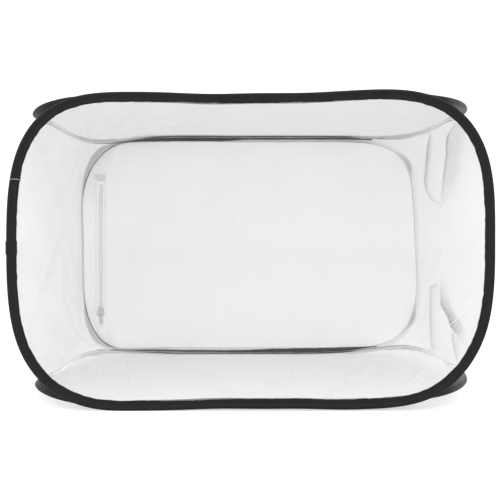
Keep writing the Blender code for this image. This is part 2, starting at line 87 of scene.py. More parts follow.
# How far inside the hoop's outer edge the wire's middle and the tape's sewing lie, and the leg between the two
WIRE_IN = 0.003
WIRE_ROUND = 0.0012
SEWN_IN = 0.0102
LEG_LONG = 0.0094

# End walls, over depth Y and height Z from their middles
WALL_Y = 0.1955
WALL_Z = 0.1905

# The sheets' edges inside their hoops, and the nets' straight seams, from the hoops' middles and off their planes
SHEET_INSET = 0.0068
BACK_INSET = 0.0047
LEVEL_SEAM = 0.1813
UPRIGHT_SEAM = 0.1826
SEAM_OFF = -0.0018

# Zip: its upright line, the slit as (low x, high x, low z, high z), its rows' ends and pitch, and what lies how deep
ZIP_X = -0.26803
ZIP_SLIT = (ZIP_X - 0.0086, ZIP_X + 0.0086, 0.0690, 0.3120)
ROW_LOW = 0.0756
ROW_HIGH = 0.306
TOOTH_PITCH = 0.0048
ZIP_CLOTH_Y = 0.1979
ZIP_THREAD_Y = 0.19845
ROW_Y = 0.1993


# ---------------------------------------------------------------- arithmetic on whole arrays


def ramp(x, low, high):
    """0 below low, 1 above high, and a smooth cubic between."""
    t = np.clip((np.asarray(x, float) - low) / (high - low), 0, 1)
    return t * t * (3 - 2 * t)


def bump(x, middle, spread):
    """A bell of height 1: e to the power of minus the square of the distance over the spread."""
    return np.exp(-(((np.asarray(x, float) - middle) / spread) ** 2))


def ripple(x, period, seed, longest, shortest, terms=9):
    """Uneven waves about 1 high that close after a period: sines with whole numbers of waves and set phases."""
    rng = np.random.default_rng(seed)
    waves = np.geomspace(period / longest, period / shortest, terms).round().astype(int) + 1
    total = np.zeros_like(np.asarray(x, float))
    for count, phase, share in zip(waves, rng.uniform(0, 2 * np.pi, terms), rng.uniform(0.5, 1, terms)):
        total += share * np.sin(2 * np.pi * count * x / period + phase)
    return total / math.sqrt(terms)


def cloth_noise(p, q, seed, size, terms=14):
    """Soft unevenness over a sheet: plane waves of about one size in set random directions."""
    rng = np.random.default_rng(seed)
    total = np.zeros(np.broadcast(p, q).shape)
    for turn, phase, scale in zip(rng.uniform(0, np.pi, terms), rng.uniform(0, 2 * np.pi, terms),
                                  rng.uniform(0.6, 1.6, terms)):
        total += np.sin(2 * np.pi * (p * np.cos(turn) + q * np.sin(turn)) / (size * scale) + phase)
    return total / math.sqrt(terms)


def dome(p, q, reach_p, reach_q):
    """A round hill of height 1: quarter waves that fall to 0 at both reaches."""
    return np.cos(np.clip(p / reach_p, -1, 1) * np.pi / 2) * np.cos(np.clip(q / reach_q, -1, 1) * np.pi / 2)


def streaks(p, q, corner, folds, seed, heading, spread):
    """Taut streaks that radiate from a corner, as (height about 0, shade from 0 to 1.2): two sines of the bearing
    from the corner, which fade with the distance and away from the heading."""
    reach = 0.35
    away_p, away_q = p - corner[0], q - corner[1]
    far = np.hypot(away_p, away_q)
    bearing = np.arctan2(away_q, away_p)
    rng = np.random.default_rng(seed)
    wave = np.sin(folds * bearing + 3 * np.sin(far / reach * 2 + rng.uniform(0, 6)))
    wave += 0.6 * np.sin(1.7 * folds * bearing + rng.uniform(0, 6))
    aside = np.angle(np.exp(1j * (bearing - heading)))
    wave = wave * np.exp(-far / reach) * ramp(far, 0.004, 0.03) * np.exp(-((aside / spread) ** 2))
    return wave, np.clip(wave, 0, 1.2)


def circle(sides):
    """Even turns round a circle."""
    return np.arange(sides) * 2 * np.pi / sides


# ---------------------------------------------------------------- meshes from arrays


def new_mesh(name, points, quads, uv=None, smooth=True, triangles=()):
    """A mesh object at the origin, from (n, 3) points, (m, 4) quads and any (k, 3) triangles, with a UV for each
    point."""
    quads, triangles = np.asarray(quads, np.int32), np.asarray(triangles, np.int32)
    corners = np.concatenate([quads.ravel(), triangles.ravel()])
    starts = np.concatenate([np.arange(0, quads.size, 4), np.arange(quads.size, len(corners), 3)])
    mesh = bpy.data.meshes.new(name)
    mesh.vertices.add(len(points))
    mesh.vertices.foreach_set("co", np.asarray(points, np.float32).ravel())
    mesh.loops.add(len(corners))
    mesh.loops.foreach_set("vertex_index", corners)
    mesh.polygons.add(len(starts))
    mesh.polygons.foreach_set("loop_start", starts.astype(np.int32))
    mesh.polygons.foreach_set("use_smooth", np.full(len(starts), smooth))
    if uv is not None:
        layer = mesh.uv_layers.new(name="UVMap")
        layer.data.foreach_set("uv", np.asarray(uv, np.float32)[corners].ravel())
    mesh.update(calc_edges=True)
    mesh.validate()
    made = bpy.data.objects.new(name, mesh)
    bpy.context.scene.collection.objects.link(made)
    return made


def set_mask(made, name, values):
    """Stores one value for each point of a mesh, which its material reads by name."""
    mask = made.data.attributes.new(name, "FLOAT", "POINT")
    mask.data.foreach_set("value", np.asarray(values, np.float32).ravel())


def grid_faces(rows, columns, close_rows=False, close_columns=False):
    """Quads between neighbours of a rows by columns array of points, wrapping round where it closes."""
    r = np.arange(rows if close_rows else rows - 1)
    c = np.arange(columns if close_columns else columns - 1)
    r, c = np.meshgrid(r, c, indexing="ij")
    r2, c2 = (r + 1) % rows, (c + 1) % columns
    return np.stack([r * columns + c, r * columns + c2, r2 * columns + c2, r2 * columns + c], -1).reshape(-1, 4)


def flipped(faces):
    """The same faces, seen from their other side."""
    return faces[:, ::-1]


def bars(count):
    """Quads of many equal bars: each has five rings of six points, and two quads close each end."""
    bar = np.concatenate([grid_faces(5, 6, False, True),
                          [[3, 2, 1, 0], [0, 5, 4, 3], [24, 25, 26, 27], [27, 28, 29, 24]]])
    return (bar[None] + 30 * np.arange(count)[:, None, None]).reshape(-1, 4)


def face_outwards(made):
    """Turns all faces round where the closed mesh's signed volume, a sum of tetrahedra, is negative."""
    mesh = made.data
    points = np.zeros(len(mesh.vertices) * 3, np.float32)
    mesh.vertices.foreach_get("co", points)
    mesh.calc_loop_triangles()
    corners = np.zeros(len(mesh.loop_triangles) * 3, np.int32)
    mesh.loop_triangles.foreach_get("vertices", corners)
    p, q, r = points.reshape(-1, 3).astype(float)[corners.reshape(-1, 3)].transpose(1, 0, 2)
    if (p * np.cross(q, r)).sum() < 0:
        mesh.flip_normals()


def shells_outwards(made):
    """Turns the faces of each closed shell of a mesh outwards."""
    work = bmesh.new()
    work.from_mesh(made.data)
    bmesh.ops.recalc_face_normals(work, faces=work.faces)
    work.to_mesh(made.data)
    work.free()


def thicken(made, thickness):
    """Gives a sheet its thickness, half to each side."""
    solid = made.modifiers.new("thickness", "SOLIDIFY")
    solid.thickness = thickness
    solid.offset = 0.0


def tube(name, path, radius, sides, helper=(0.31, 0.27, 0.91)):
    """A round cord along a path: circles set square to it, with its ends closed by low cones.

    Each ring is the point, plus radius times cos and sin of the turn along two directions across the path, of which
    the first is square to the helper too."""
    along = np.gradient(path, axis=0)
    along /= np.linalg.norm(along, axis=1, keepdims=True)
    side = np.cross(along, np.asarray(helper, float))
    side /= np.linalg.norm(side, axis=1, keepdims=True)
    up = np.cross(side, along)
    turn = circle(sides)
    ring = side[:, None] * np.cos(turn)[:, None] + up[:, None] * np.sin(turn)[:, None]
    points = (path[:, None] + radius * ring).reshape(-1, 3)
    tips = [path[0] - along[0] * radius * 0.5, path[-1] + along[-1] * radius * 0.5]
    s = np.concatenate([[0], np.cumsum(np.linalg.norm(np.diff(path, axis=0), axis=1))])
    uv = np.stack(np.broadcast_arrays(s[:, None], turn / (2 * np.pi) * 0.004), -1).reshape(-1, 2)
    k = np.arange(sides)
    k2 = (k + 1) % sides
    count, last = len(points), len(points) - sides
    caps = np.concatenate([np.stack([np.full(sides, count), k2, k], -1),
                           np.stack([np.full(sides, count + 1), last + k, last + k2], -1)])
    made = new_mesh(name, np.vstack([points, tips]), grid_faces(len(path), sides, False, True),
                    np.vstack([uv, [[0, 0], [s[-1], 0]]]), triangles=caps)
    face_outwards(made)
    return made


# ---------------------------------------------------------------- the hoops' lines and their sway


def hoop_line(name, steps):
    """Evenly spaced places (u, v) on a hoop's outer edge, from the middle of its low run anticlockwise.

    Each quarter is |x/reach|^n + |v/half|^n = 1 past the straight run, taken by bearing from the quarter's middle.
    Also gives the inward normals, the distance s along the edge, and the whole way round."""
    hoop = HOOPS[name]
    bearing = np.linspace(0, np.pi / 2, 500)
    quarters = []
    for n in hoop["square"]:
        far = (np.cos(bearing) ** n + np.sin(bearing) ** n) ** (-1 / n)
        quarters.append((CAP_REACH * far * np.cos(bearing), hoop["half"] * far * np.sin(bearing)))
    left_low, right_low, right_high, left_high = quarters
    u = np.concatenate([[0], STRAIGHT_HALF + right_low[0][::-1], STRAIGHT_HALF + right_high[0],
                        -STRAIGHT_HALF - left_high[0][::-1], -STRAIGHT_HALF - left_low[0], [0]])
    v = np.concatenate([[-hoop["half"]], -right_low[1][::-1], right_high[1], left_high[1][::-1], -left_low[1],
                        [-hoop["half"]]])
    s = np.concatenate([[0], np.cumsum(np.hypot(np.diff(u), np.diff(v)))])
    whole = s[-1]
    at = np.arange(steps) * whole / steps
    u, v = np.interp(at, s, u), np.interp(at, s, v)
    du, dv = np.roll(u, -2) - np.roll(u, 2), np.roll(v, -2) - np.roll(v, 2)
    length = np.hypot(du, dv)
    return u, v, -dv / length, du / length, at, whole


def wall_pull(u):
    """How hard the end walls pull on the back hoop's tape: the loose one, at the right, pulls less."""
    return np.where(u > 0, 0.45, 1)


def leg_turn(name, u, v):
    """How far the tape's legs turn out of the hoop's plane, towards the cage's middle, in radians: on the back hoop
    at its sides, where the end walls pull them forward, and on the level hoops at their ends, between the wall and
    the net that pull on them, and most at their front corners."""
    if name == "back":
        sides = ramp(np.abs(u), 0.24, 0.29) * (1 - ramp(np.abs(v), 0.06, 0.14))
        return 0.30 + wall_pull(u) * (0.80 * ramp(np.abs(u), 0.15, 0.26) + 0.24 * sides)
    if name == "front":
        return np.zeros(np.broadcast(u, v).shape)
    return 0.55 * ramp(np.abs(u), 0.20, 0.27) + 0.62 * ramp(np.abs(u), 0.235, 0.262) * ramp(-v, 0.03, 0.10)


def seam_inset(name, u, v):
    """How far inside a hoop's outer edge the net is sewn to its tape, which is less where the legs turn."""
    if name == "back":
        return 0.0124 - 0.0062 * wall_pull(u) * ramp(np.abs(u), 0.15, 0.285)
    if name == "front":
        return np.full_like(u, SEWN_IN)
    return WIRE_IN + LEG_LONG * np.cos(leg_turn(name, u, v))


def leg_drop(name, u, v):
    """How far the ends of the turned legs lie from the hoop's plane, towards the cage's middle."""
    return LEG_LONG * np.sin(leg_turn(name, u, v))


def turned(a, b, turn):
    """Points of the tape's section (in from the outer edge, off the plane), turned about the wire's middle."""
    return (WIRE_IN + (a - WIRE_IN) * np.cos(turn) + b * np.sin(turn),
            b * np.cos(turn) - (a - WIRE_IN) * np.sin(turn))


def even_curve(values, count):
    """Many even samples of the smooth closed curve through a few: the few's sines and cosines, carried on."""
    return np.fft.irfft(np.fft.rfft(np.array(values, float)), count) * count / len(values)


def bend_table(name):
    """A hoop's bends as bearings from its middle, in rising order, and the shift along and up at each."""
    u, v, nu, nv, _, _ = hoop_line(name, 2048)
    off = even_curve(HOOPS[name]["bends"], 2048) / 1000
    return np.unwrap(np.arctan2(v / HOOPS[name]["half"], u / HALF_LONG)), off * nu, off * nv


def bend(name, u, v):
    """The shift (along, up) that the hoop's bends give at the bearing of (u, v)."""
    bearing, along, up = BENT[name]
    at = np.arctan2(np.asarray(v, float) / HOOPS[name]["half"], np.asarray(u, float) / HALF_LONG)
    return np.interp(at, bearing, along, period=2 * np.pi), np.interp(at, bearing, up, period=2 * np.pi)


def squareness(name, u, v):
    """The exponent of the quarter of a hoop's outline that (u, v) lies in."""
    left_low, right_low, right_high, left_high = HOOPS[name]["square"]
    return np.where(u > 0, np.where(v > 0, right_high, right_low), np.where(v > 0, left_high, left_low))


def from_edge(name, u, v):
    """About how far (u, v) lies inside a hoop's outer edge: (1 - share) of the way out along its ray."""
    half = HOOPS[name]["half"]
    n = squareness(name, u, v)
    past = np.maximum(np.abs(u) - STRAIGHT_HALF, 0)
    share = ((past / CAP_REACH) ** n + (np.abs(v) / half) ** n) ** (1 / n)
    return np.where(share > 1e-6, (1 - share) * np.hypot(past, v) / np.maximum(share, 1e-6), half)


def droop_high(u, v):
    """How far the level hoop at the top droops: most along its left side, and a lip at each front corner."""
    rim = from_edge("top", u, v)
    fall = 0.0075 * bump(u, -0.272, 0.07) * bump(v, -0.130, 0.080)
    fall += 0.0060 * bump(u, -0.280, 0.06) * bump(v, 0.010, 0.090)
    fall += 0.0108 * bump(u, -0.262, 0.07) * bump(v, 0.135, 0.085)
    fall += 0.0020 * bump(u, 0.272, 0.07) * bump(v, -0.115, 0.070)
    fall += 0.0026 * bump(u, 0.262, 0.07) * bump(v, 0.135, 0.080)
    lip = 0.0045 * bump(u, -0.272, 0.05) * bump(v, -0.120, 0.055)
    lip += 0.0025 * bump(u, 0.276, 0.05) * bump(v, -0.115, 0.055)
    return fall + lip * np.exp(-np.maximum(rim, 0) / 0.009)


def rise_low(u, v):
    """How far the level hoop at the bottom rises off the floor: at its left end, and more at its right end."""
    rise = 0.0118 * bump(u, -0.280, 0.09) * bump(v, -0.135, 0.09)
    rise += 0.0076 * bump(u, -0.262, 0.07) * bump(v, 0.130, 0.085)
    rise += 0.0185 * bump(u, 0.285, 0.12) * bump(v, -0.120, 0.13)
    rise += 0.0100 * bump(u, 0.300, 0.07) * bump(v, 0.030, 0.10)
    return rise + 0.0140 * bump(u, 0.267, 0.085) * bump(v, 0.130, 0.090)


def sway(name, u, v):
    """The shift (along, up the hoop's plane, out of it) of the cloth at (u, v) from the flat, even outline. The
    level hoops' runs follow the upright hoops' bends."""
    zero = np.zeros(np.broadcast(u, v).shape)
    if name in ("front", "back"):
        along, up = bend(name, u, v)
        held = 1 - ramp(from_edge(name, u, v), 0.016, 0.09)
        return along * held, up * held, zero
    over = 1.0 if name == "top" else -1.0
    straight = ramp(0.25 - np.abs(u), 0, 0.08)
    follow = ramp(-v, 0.10, 0.19) * bend("front", u, over * HALF_TALL + zero)[1]
    follow = follow + ramp(v, 0.10, 0.19) * bend("back", u, over * HALF_TALL + zero)[1]
    return zero, zero, over * follow * straight - (droop_high(u, v) if name == "top" else rise_low(u, v))


def place(name, u, v, off):
    """World points of places (u, v) in a hoop's plane that stand off it by a distance outwards, with the sway."""
    hoop = HOOPS[name]
    along_shift, up_shift, out_shift = sway(name, u, v)
    u, v, off = np.broadcast_arrays(u + along_shift, v + up_shift, off + out_shift)
    return (np.array(hoop["middle"]) + u[..., None] * np.array((1.0, 0, 0)) + v[..., None] * np.array(hoop["up"])
            + off[..., None] * np.array(hoop["out"]))


# ---------------------------------------------------------------- tapes, wires, ferrules and thread


def tape_profile():
    """The folded tape's section as (in from the outer edge, off the plane): outside leg, round crown, inside leg."""
    crown = [(0.0, 0.0), (0.00024, 0.00118), (0.0009, 0.00215), (0.0019, 0.0028), (0.0031, 0.00298),
             (0.0043, 0.00272), (0.0053, 0.0022), (0.0062, 0.00172), (0.0073, 0.00142), (0.0088, 0.00132),
             (0.0104, 0.0013), (0.0116, 0.00128), (0.0123, 0.00118), (0.0125, 0.0009)]
    lining = [(0.0124, 0.00045), (0.0098, 0.0004), (0.0072, 0.00045), (0.0060, 0.0013), (0.0048, 0.0021),
              (0.0031, 0.00228), (0.0017, 0.0018), (0.0009, 0.0009), (0.0007, 0.0)]
    outside = crown[::-1] + [(a, -b) for a, b in crown[1:]]
    inside = [(a, -b) for a, b in lining] + [(a, b) for a, b in lining[-2::-1]]
    return np.array(outside + inside)


def edge_wave(s, whole, seed):
    """How unevenly the tape's legs are cut, along the hoop."""
    return 0.00032 * ripple(s, whole, seed, 0.12, 0.011, 12)


def tape(name, seed):
    """The folded tape of one hoop: its section carried round the outline, with uneven edges and its lapped ends.

    Each point is the outline, plus the section's distance in along the normal, and off the plane. Leg is 0 on the
    round crown and rises to 1 at the legs' ends."""
    steps = 1100
    u, v, nu, nv, s, whole = hoop_line(name, steps)
    section = tape_profile()
    a, b = section[:, 0][None], section[:, 1][None]
    leg = np.clip((a - 0.0062) / 0.0063, 0, 1)
    crown = 1 + 0.05 * ripple(s, whole, seed + 1, 0.08, 0.010, 12)[:, None]
    from_lap = (s - HOOPS[name]["lap"] * whole)[:, None]
    lap = ramp(from_lap, -0.0085, -0.0077) * ramp(-from_lap, -0.0085, -0.0077)
    slim = 0.0013 * (bump(u, -0.06, 0.045) + bump(u, 0.06, 0.025) * (v > 0))[:, None]
    narrow, out = (slim, 0.0005) if name == "front" else (0.0005, 0.0)
    a = a - out + leg * (edge_wave(s, whole, seed)[:, None] - narrow + 0.0008 * lap) - 0.0007 * lap * (1 - leg)
    b = b * (1 + (crown - 1) * (1 - leg)) + np.sign(b) * 0.00045 * lap
    b = b + 0.0002 * ripple(s, whole, seed + 2, 0.10, 0.016, 10)[:, None] * leg
    a, b = turned(a, b, leg_turn(name, u, v)[:, None])
    points = place(name, u[:, None] + a * nu[:, None], v[:, None] + a * nv[:, None], b)
    around = np.concatenate([[0], np.cumsum(np.hypot(*np.diff(section, axis=0).T))])
    uv = np.stack(np.broadcast_arrays(s[:, None], around[None]), -1).reshape(-1, 2)
    made = new_mesh(f"{name}_tape", points.reshape(-1, 3), grid_faces(steps, len(section), True, True), uv)
    painted_sheen, lined = tape_masks(name, u, v, section)
    # The first mask paints a highlight of sheen on the level hoops' right front lobes, more on the legs; the second is
    # the net lining.
    for mask, values in (("painted_sheen", painted_sheen[:, None] * (0.35 + 0.65 * leg)), ("lined", lined)):
        set_mask(made, mask, np.broadcast_to(values, points.shape[:2]))
    face_outwards(made)
    return made


def tape_masks(name, u, v, section):
    """How much sheen is painted on the tape along the hoop, on the level hoops' right front lobes, and how much it is
    lined with net at each place and section point.
    """
    inside = ((section[:, 1] < -0.0005) & (section[:, 0] > 0.0012))[None] * 1.0
    if name == "back":
        inside = inside + 0.4 * ((section[:, 1] > 0.0005) & (section[:, 0] > 0.0055))[None]
        return 0 * u, ramp(np.abs(u), 0.18, 0.24)[:, None] * inside
    level = float(name != "front")
    # Painted sheen: the level hoops' right front lobes, on the side that faces the light, are painted paler, the top
    # one more.
    painted_sheen = level * ramp(u, 0.232, 0.278) * ramp(-v, 0.03, 0.10) * (1.35 if name == "top" else 1.05)
    lined = level * ramp(np.abs(u), 0.17, 0.20) * (1 - ramp(-v, 0.0, 0.06))
    return painted_sheen, lined[:, None] * inside


def wire(name):
    """The spring wire inside the tape: a round bar with a small gap, where its ends meet in the ferrule."""
    u, v, nu, nv, s, whole = hoop_line(name, 900)
    path = place(name, u + WIRE_IN * nu, v + WIRE_IN * nv, 0.0)
    half_gap = 0.0009
    kept = (s > half_gap) & (s < whole - half_gap)
    return tube(f"{name}_wire", path[kept], WIRE_ROUND, 8, HOOPS[name]["out"])


def ferrule(name):
    """The crimped sleeve over the wire's ends: rings along the run, pressed in at four places, with a bore."""
    steps, sides = 61, 20
    along = np.linspace(-0.010, 0.010, steps)
    press = sum(bump(along, at, 0.0012) for at in (-0.0075, -0.0035, 0.0035, 0.0075))
    outer = 0.00200 - 0.00022 * press
    outer[[0, -1]] -= 0.00012
    radius = np.concatenate([outer, np.full(steps, 0.00150)])[:, None]
    up, off = radius * np.cos(circle(sides)), radius * np.sin(circle(sides))
    points = place(name, np.zeros_like(off), np.full_like(off, WIRE_IN - HOOPS[name]["half"]), off)
    points = points + up[..., None] * np.array(HOOPS[name]["up"], float)
    points[..., 0] += np.concatenate([along, along[::-1]])[:, None]
    made = new_mesh(f"{name}_ferrule", points.reshape(-1, 3), grid_faces(2 * steps, sides, True, True))
    face_outwards(made)
    return made


def stitches(name, seed):
    """Two rows of lock stitches, one on each face of the tape: each stitch is a low arched bar of thread.

    A stitch is a unit bar, five rings of six points, stretched and set down at even steps along the leg."""
    pitch = 0.0034
    u, v, nu, nv, s, whole = hoop_line(name, 1600)
    count = int(whole / pitch)
    at = (np.arange(count) + 0.5) * whole / count
    where = (at[:, None] + np.linspace(-0.5, 0.5, 5) * pitch * 0.72) % whole
    arch = np.array([-0.00022, 0.00012, 0.0002, 0.00012, -0.00022])[:, None]
    u_at, v_at, in_u, in_v = (np.interp(where, s, line, period=whole)[..., None] for line in (u, v, nu, nv))
    inset = SEWN_IN + 0.5 * np.interp(where, s, edge_wave(s, whole, seed))[..., None]
    if name == "front":
        inset = inset - 0.0010 * bump(u_at, -0.06, 0.11)
    parts = []
    for side in (1, -1):
        depth, off = turned(inset + 0.00022 * np.cos(circle(6)), side * (0.00135 + arch + 0.00020 * np.sin(circle(6))),
                            leg_turn(name, u_at, v_at))
        parts.append(place(name, u_at + depth * in_u, v_at + depth * in_v, off))
    points = np.concatenate(parts).reshape(-1, 3)
    faces = bars(2 * count)
    other_side = slice(len(faces) // 2, None)
    faces[other_side] = flipped(faces[other_side])
    return new_mesh(f"{name}_stitches", points, faces, points[:, [0, 2]])


def loose_thread():
    """A white thread that lies across the front tape, arched over its round: a path over the section's outside."""
    crown = tape_profile()[13::-1]
    a = np.linspace(0.0002, 0.0121, 26)
    over = np.interp(a, *crown.T) + 0.00035
    u, v, nu, _, _, _ = hoop_line("front", 4000)
    at = np.argmin(np.hypot(u + HALF_LONG, v - 0.0882))
    arch = 0.0011 * np.sin(np.pi * (a - a[0]) / (a[-1] - a[0]))
    return tube("loose_thread", place("front", u[at] + a / nu[at], v[at] + arch, over), 0.00022, 6)


# ---------------------------------------------------------------- sheets inside the hoops


def sheet_grid(name, inset, columns, rows):
    """Places (u, v) that fill a hoop's outline: v is a share of the half height, closer set at both ends, and u a
    share of the outline's width there."""
    share = np.sin(np.linspace(-np.pi / 2, np.pi / 2, rows + 1))[:, None]
    across = np.linspace(-1, 1, columns + 1)[None]
    n = squareness(name, across, share)
    width = STRAIGHT_HALF + (CAP_REACH - inset) * (1 - np.abs(share) ** n) ** (1 / n)
    return across * width, np.broadcast_to(share * (HOOPS[name]["half"] - inset), width.shape)


def panel(name, inset, relief, slit=None):
    """A net held in a hoop: the filled outline, stood off its plane by a relief that dies away at the tape, and
    turned down with the tape's legs. A slit (low x, high x, low z, high z) is cut by moving the nearest lines of the
    grid to its edges, less the sway that they get there."""
    columns, rows = 220, 160
    u, v = (places.copy() for places in sheet_grid(name, inset, columns, rows))
    if slit:
        low_v, high_v = slit[2] - HALF_TALL, slit[3] - HALF_TALL
        for edge in (low_v, high_v):
            v[np.abs(v[:, 0] - edge).argmin()] = edge
        for edge in slit[:2]:
            at = np.full(rows + 1, edge)
            for _ in range(4):
                at = edge - sway(name, at, v[:, 0])[0]
            row = np.nonzero((v[:, 0] > low_v - 0.012) & (v[:, 0] < high_v + 0.012))[0]
            u[row, np.abs(u[row] - at[row, None]).argmin(1)] = at[row]
    rim = from_edge(name, u, v)
    held = ramp(rim, 0.010, 0.035)
    off, shade = relief(u, v)
    off = off * held - leg_drop(name, u, v) * (1 - ramp(rim, 0.006, 0.045))
    if slit:
        off = off * ramp(np.abs(u - (slit[0] + slit[1]) / 2), 0.010, 0.035)
    points = place(name, u, v, off).reshape(-1, 3)
    faces = grid_faces(rows + 1, columns + 1)
    if slit:
        x, z = points[:, 0][faces].mean(1), points[:, 2][faces].mean(1)
        faces = faces[~((x > slit[0]) & (x < slit[1]) & (z > slit[2] - 0.001) & (z < slit[3] + 0.001))]
    if np.dot(np.cross(HOOPS[name]["up"], (1.0, 0, 0)), HOOPS[name]["out"]) > 0:
        faces = flipped(faces)
    made = new_mesh(f"{name}_net", points, faces, np.stack([u, v], -1).reshape(-1, 2))
    # The fold mask: painted shade in the net's folds, streaks and tucks, where the net is also less see-through.
    set_mask(made, "fold", shade * held)
    if name != "back":
        # The hem mask: more cover at the opaque hem, and a painted glow there.
        set_mask(made, "hem", (1 - ramp(rim, 0.010, 0.017)) * ramp(np.abs(u), 0.16, 0.21))
    return made


def top_relief(u, v):
    """The top net sags a little, with streaks from its left and right back corners, which get painted shade."""
    sag = -0.0035 * dome(u, v, HALF_LONG, 0.19)
    left, left_shade = streaks(u, v, (-0.31, 0.20), 34, 5, -0.85, 0.7)
    right, right_shade = streaks(u, v, (0.31, 0.20), 30, 6, -2.3, 0.6)
    off = sag + 0.0007 * left + 0.0003 * right + 0.00025 * cloth_noise(u, v, 3, 0.09)
    return off, 0.10 * left_shade + 0.05 * right_shade


def bottom_relief(u, v):
    """The bottom net lies on the ground, with streaks from its corners and two small tucks at the back, with painted
    shade along the streaks and in the tucks.
    """
    left, left_shade = streaks(u, v, (-0.31, 0.20), 34, 8, -0.75, 0.7)
    right, right_shade = streaks(u, v, (0.31, 0.20), 30, 9, -2.2, 0.7)
    near, near_shade = streaks(u, v, (0.30, -0.21), 26, 10, 2.4, 0.6)
    tuck_left = bump(np.hypot((u + 0.2565) * 0.6, (v - 0.104) * 1.4), 0, 0.006)
    tuck_right = bump(np.hypot((u - 0.275) * 0.6, (v - 0.150) * 1.4), 0, 0.006)
    folds = 0.0007 * left + 0.0006 * right + 0.0004 * near + 0.0003 * cloth_noise(u, v, 4, 0.10)
    shade = 0.13 * left_shade + 0.10 * right_shade + 0.07 * near_shade
    return (np.minimum(folds, 0.0012) - 0.004 * tuck_left - 0.003 * tuck_right,
            shade + 0.55 * ramp(tuck_left, 0.3, 0.9) + 0.6 * ramp(tuck_right, 0.3, 0.9))


def back_relief(u, v):
    """The back net is taut: a faint bow, and streaks from its low corners, which get painted shade."""
    bow = 0.0012 * dome(u, v, HALF_LONG, 0.19)
    left, left_shade = streaks(u, v, (-0.30, -0.20), 18, 12, 1.1, 0.5)
    right, right_shade = streaks(u, v, (0.30, -0.20), 16, 13, 2.1, 0.5)
    return (bow + 0.0003 * left + 0.0002 * right + 0.0002 * cloth_noise(u, v * 0.5, 14, 0.11),
            0.05 * left_shade + 0.03 * right_shade)


def film_creases(u, v):
    """Creases in the clear film: straight ridges, each with a place, a bearing, a length, a width and a height.

    A ridge is a bell across its line, which bows a little, with ends that fade. The sum is also the mask that whitens
    them, partly as whitened film and partly as a painted highlight."""
    ridges = [
        (0.2460, -0.0886, 0.69, 0.026, 0.0005, 1.0), (0.2480, -0.0925, 0.72, 0.022, 0.0005, 0.8),
        (0.2465, -0.1120, 0.52, 0.017, 0.0005, 0.9), (0.2440, -0.1095, 0.60, 0.014, 0.0004, 0.5),
        (0.2657, -0.0700, 0.77, 0.060, 0.0007, 0.45), (0.2560, -0.0660, 0.75, 0.040, 0.0006, 0.25),
        (0.2105, -0.1487, 0.79, 0.066, 0.0007, 0.45), (0.2220, -0.1430, 0.75, 0.040, 0.0005, 0.40),
        (0.1900, -0.1500, 0.82, 0.050, 0.0006, 0.30), (0.2330, -0.1300, 0.95, 0.030, 0.0005, 0.30),
        (0.1700, -0.1450, 1.05, 0.050, 0.0006, 0.25), (0.2200, -0.1560, 0.80, 0.040, 0.0006, 0.30),
        (0.2547, 0.1450, -0.93, 0.032, 0.0004, 0.55), (0.2600, 0.1440, -0.93, 0.034, 0.0004, 0.50),
        (0.2500, 0.1400, -0.93, 0.028, 0.0004, 0.45), (0.2460, 0.1470, -0.93, 0.020, 0.0004, 0.40),
        (0.2650, 0.1370, -0.95, 0.034, 0.0005, 0.35), (0.2700, 0.1280, -0.98, 0.030, 0.0005, 0.25),
        (-0.2620, -0.0600, -1.10, 0.060, 0.0007, 0.18), (-0.2350, -0.1200, -0.90, 0.060, 0.0007, 0.20),
        (-0.2150, -0.1450, -1.20, 0.050, 0.0006, 0.22), (-0.1900, -0.1400, -1.35, 0.050, 0.0006, 0.22),
        (-0.1500, -0.1500, -1.45, 0.040, 0.0006, 0.20), (-0.1000, -0.1550, 1.50, 0.035, 0.0006, 0.18),
        (0.0500, -0.1500, 1.45, 0.040, 0.0006, 0.25), (0.0850, -0.1550, 1.40, 0.040, 0.0006, 0.22),
        (0.1200, -0.1500, 1.30, 0.045, 0.0006, 0.25), (0.1500, -0.1450, 1.25, 0.050, 0.0006, 0.25),
        (-0.2550, 0.1100, 0.85, 0.070, 0.0009, 0.16), (-0.2250, 0.1350, 0.75, 0.070, 0.0009, 0.16),
        (-0.1800, 0.1600, 0.60, 0.060, 0.0008, 0.14), (-0.2700, 0.0600, 1.05, 0.060, 0.0008, 0.14),
    ]
    total = np.zeros(np.broadcast(u, v).shape)
    for mid_u, mid_v, turn, length, width, height in ridges:
        away_u, away_v = u - mid_u, v - mid_v
        along = away_u * math.cos(turn) + away_v * math.sin(turn)
        across = away_v * math.cos(turn) - away_u * math.sin(turn)
        across = across + 0.03 * along**2 / length
        total += height * np.exp(-((across / width) ** 2)) * (1 - ramp(np.abs(along), 0.2 * length, 0.5 * length))
    return total


def window():
    """The clear film in the front hoop: taut, with a faint bow, fine creases and corner ripples."""
    columns, rows = 520, 400
    u, v = sheet_grid("front", SHEET_INSET, columns, rows)
    held = ramp(from_edge("front", u, v), 0.010, 0.030)
    crease = film_creases(u, v)
    off = 0.0010 * dome(u, v, HALF_LONG, HALF_TALL) + 0.0005 * crease + 0.0002 * cloth_noise(u, v, 21, 0.12)
    made = new_mesh("front_film", place("front", u, v, off * held).reshape(-1, 3), grid_faces(rows + 1, columns + 1),
                    np.stack([u, v], -1).reshape(-1, 2))
    set_mask(made, "crease", crease * held)
    return made


# ---------------------------------------------------------------- end walls


def inner_edge(name, side, low):
    """The seam line of one quarter of a hoop, as shares t of its reach past the straight run, and heights or depths
    from the hoop's middle there: the outline moved in along its normals."""
    u, v, nu, nv, _, _ = hoop_line(name, 6000)
    inset = seam_inset(name, u, v)
    u, v = (u + inset * nu) * side, (v + inset * nv) * (-1 if low else 1)
    kept = (u > STRAIGHT_HALF - 0.002) & (v > -0.001)
    reach = u[kept].max() - STRAIGHT_HALF
    t = (u[kept] - STRAIGHT_HALF) / reach
    order = np.argsort(t)
    return t[order], np.minimum.accumulate(v[kept][order]), reach


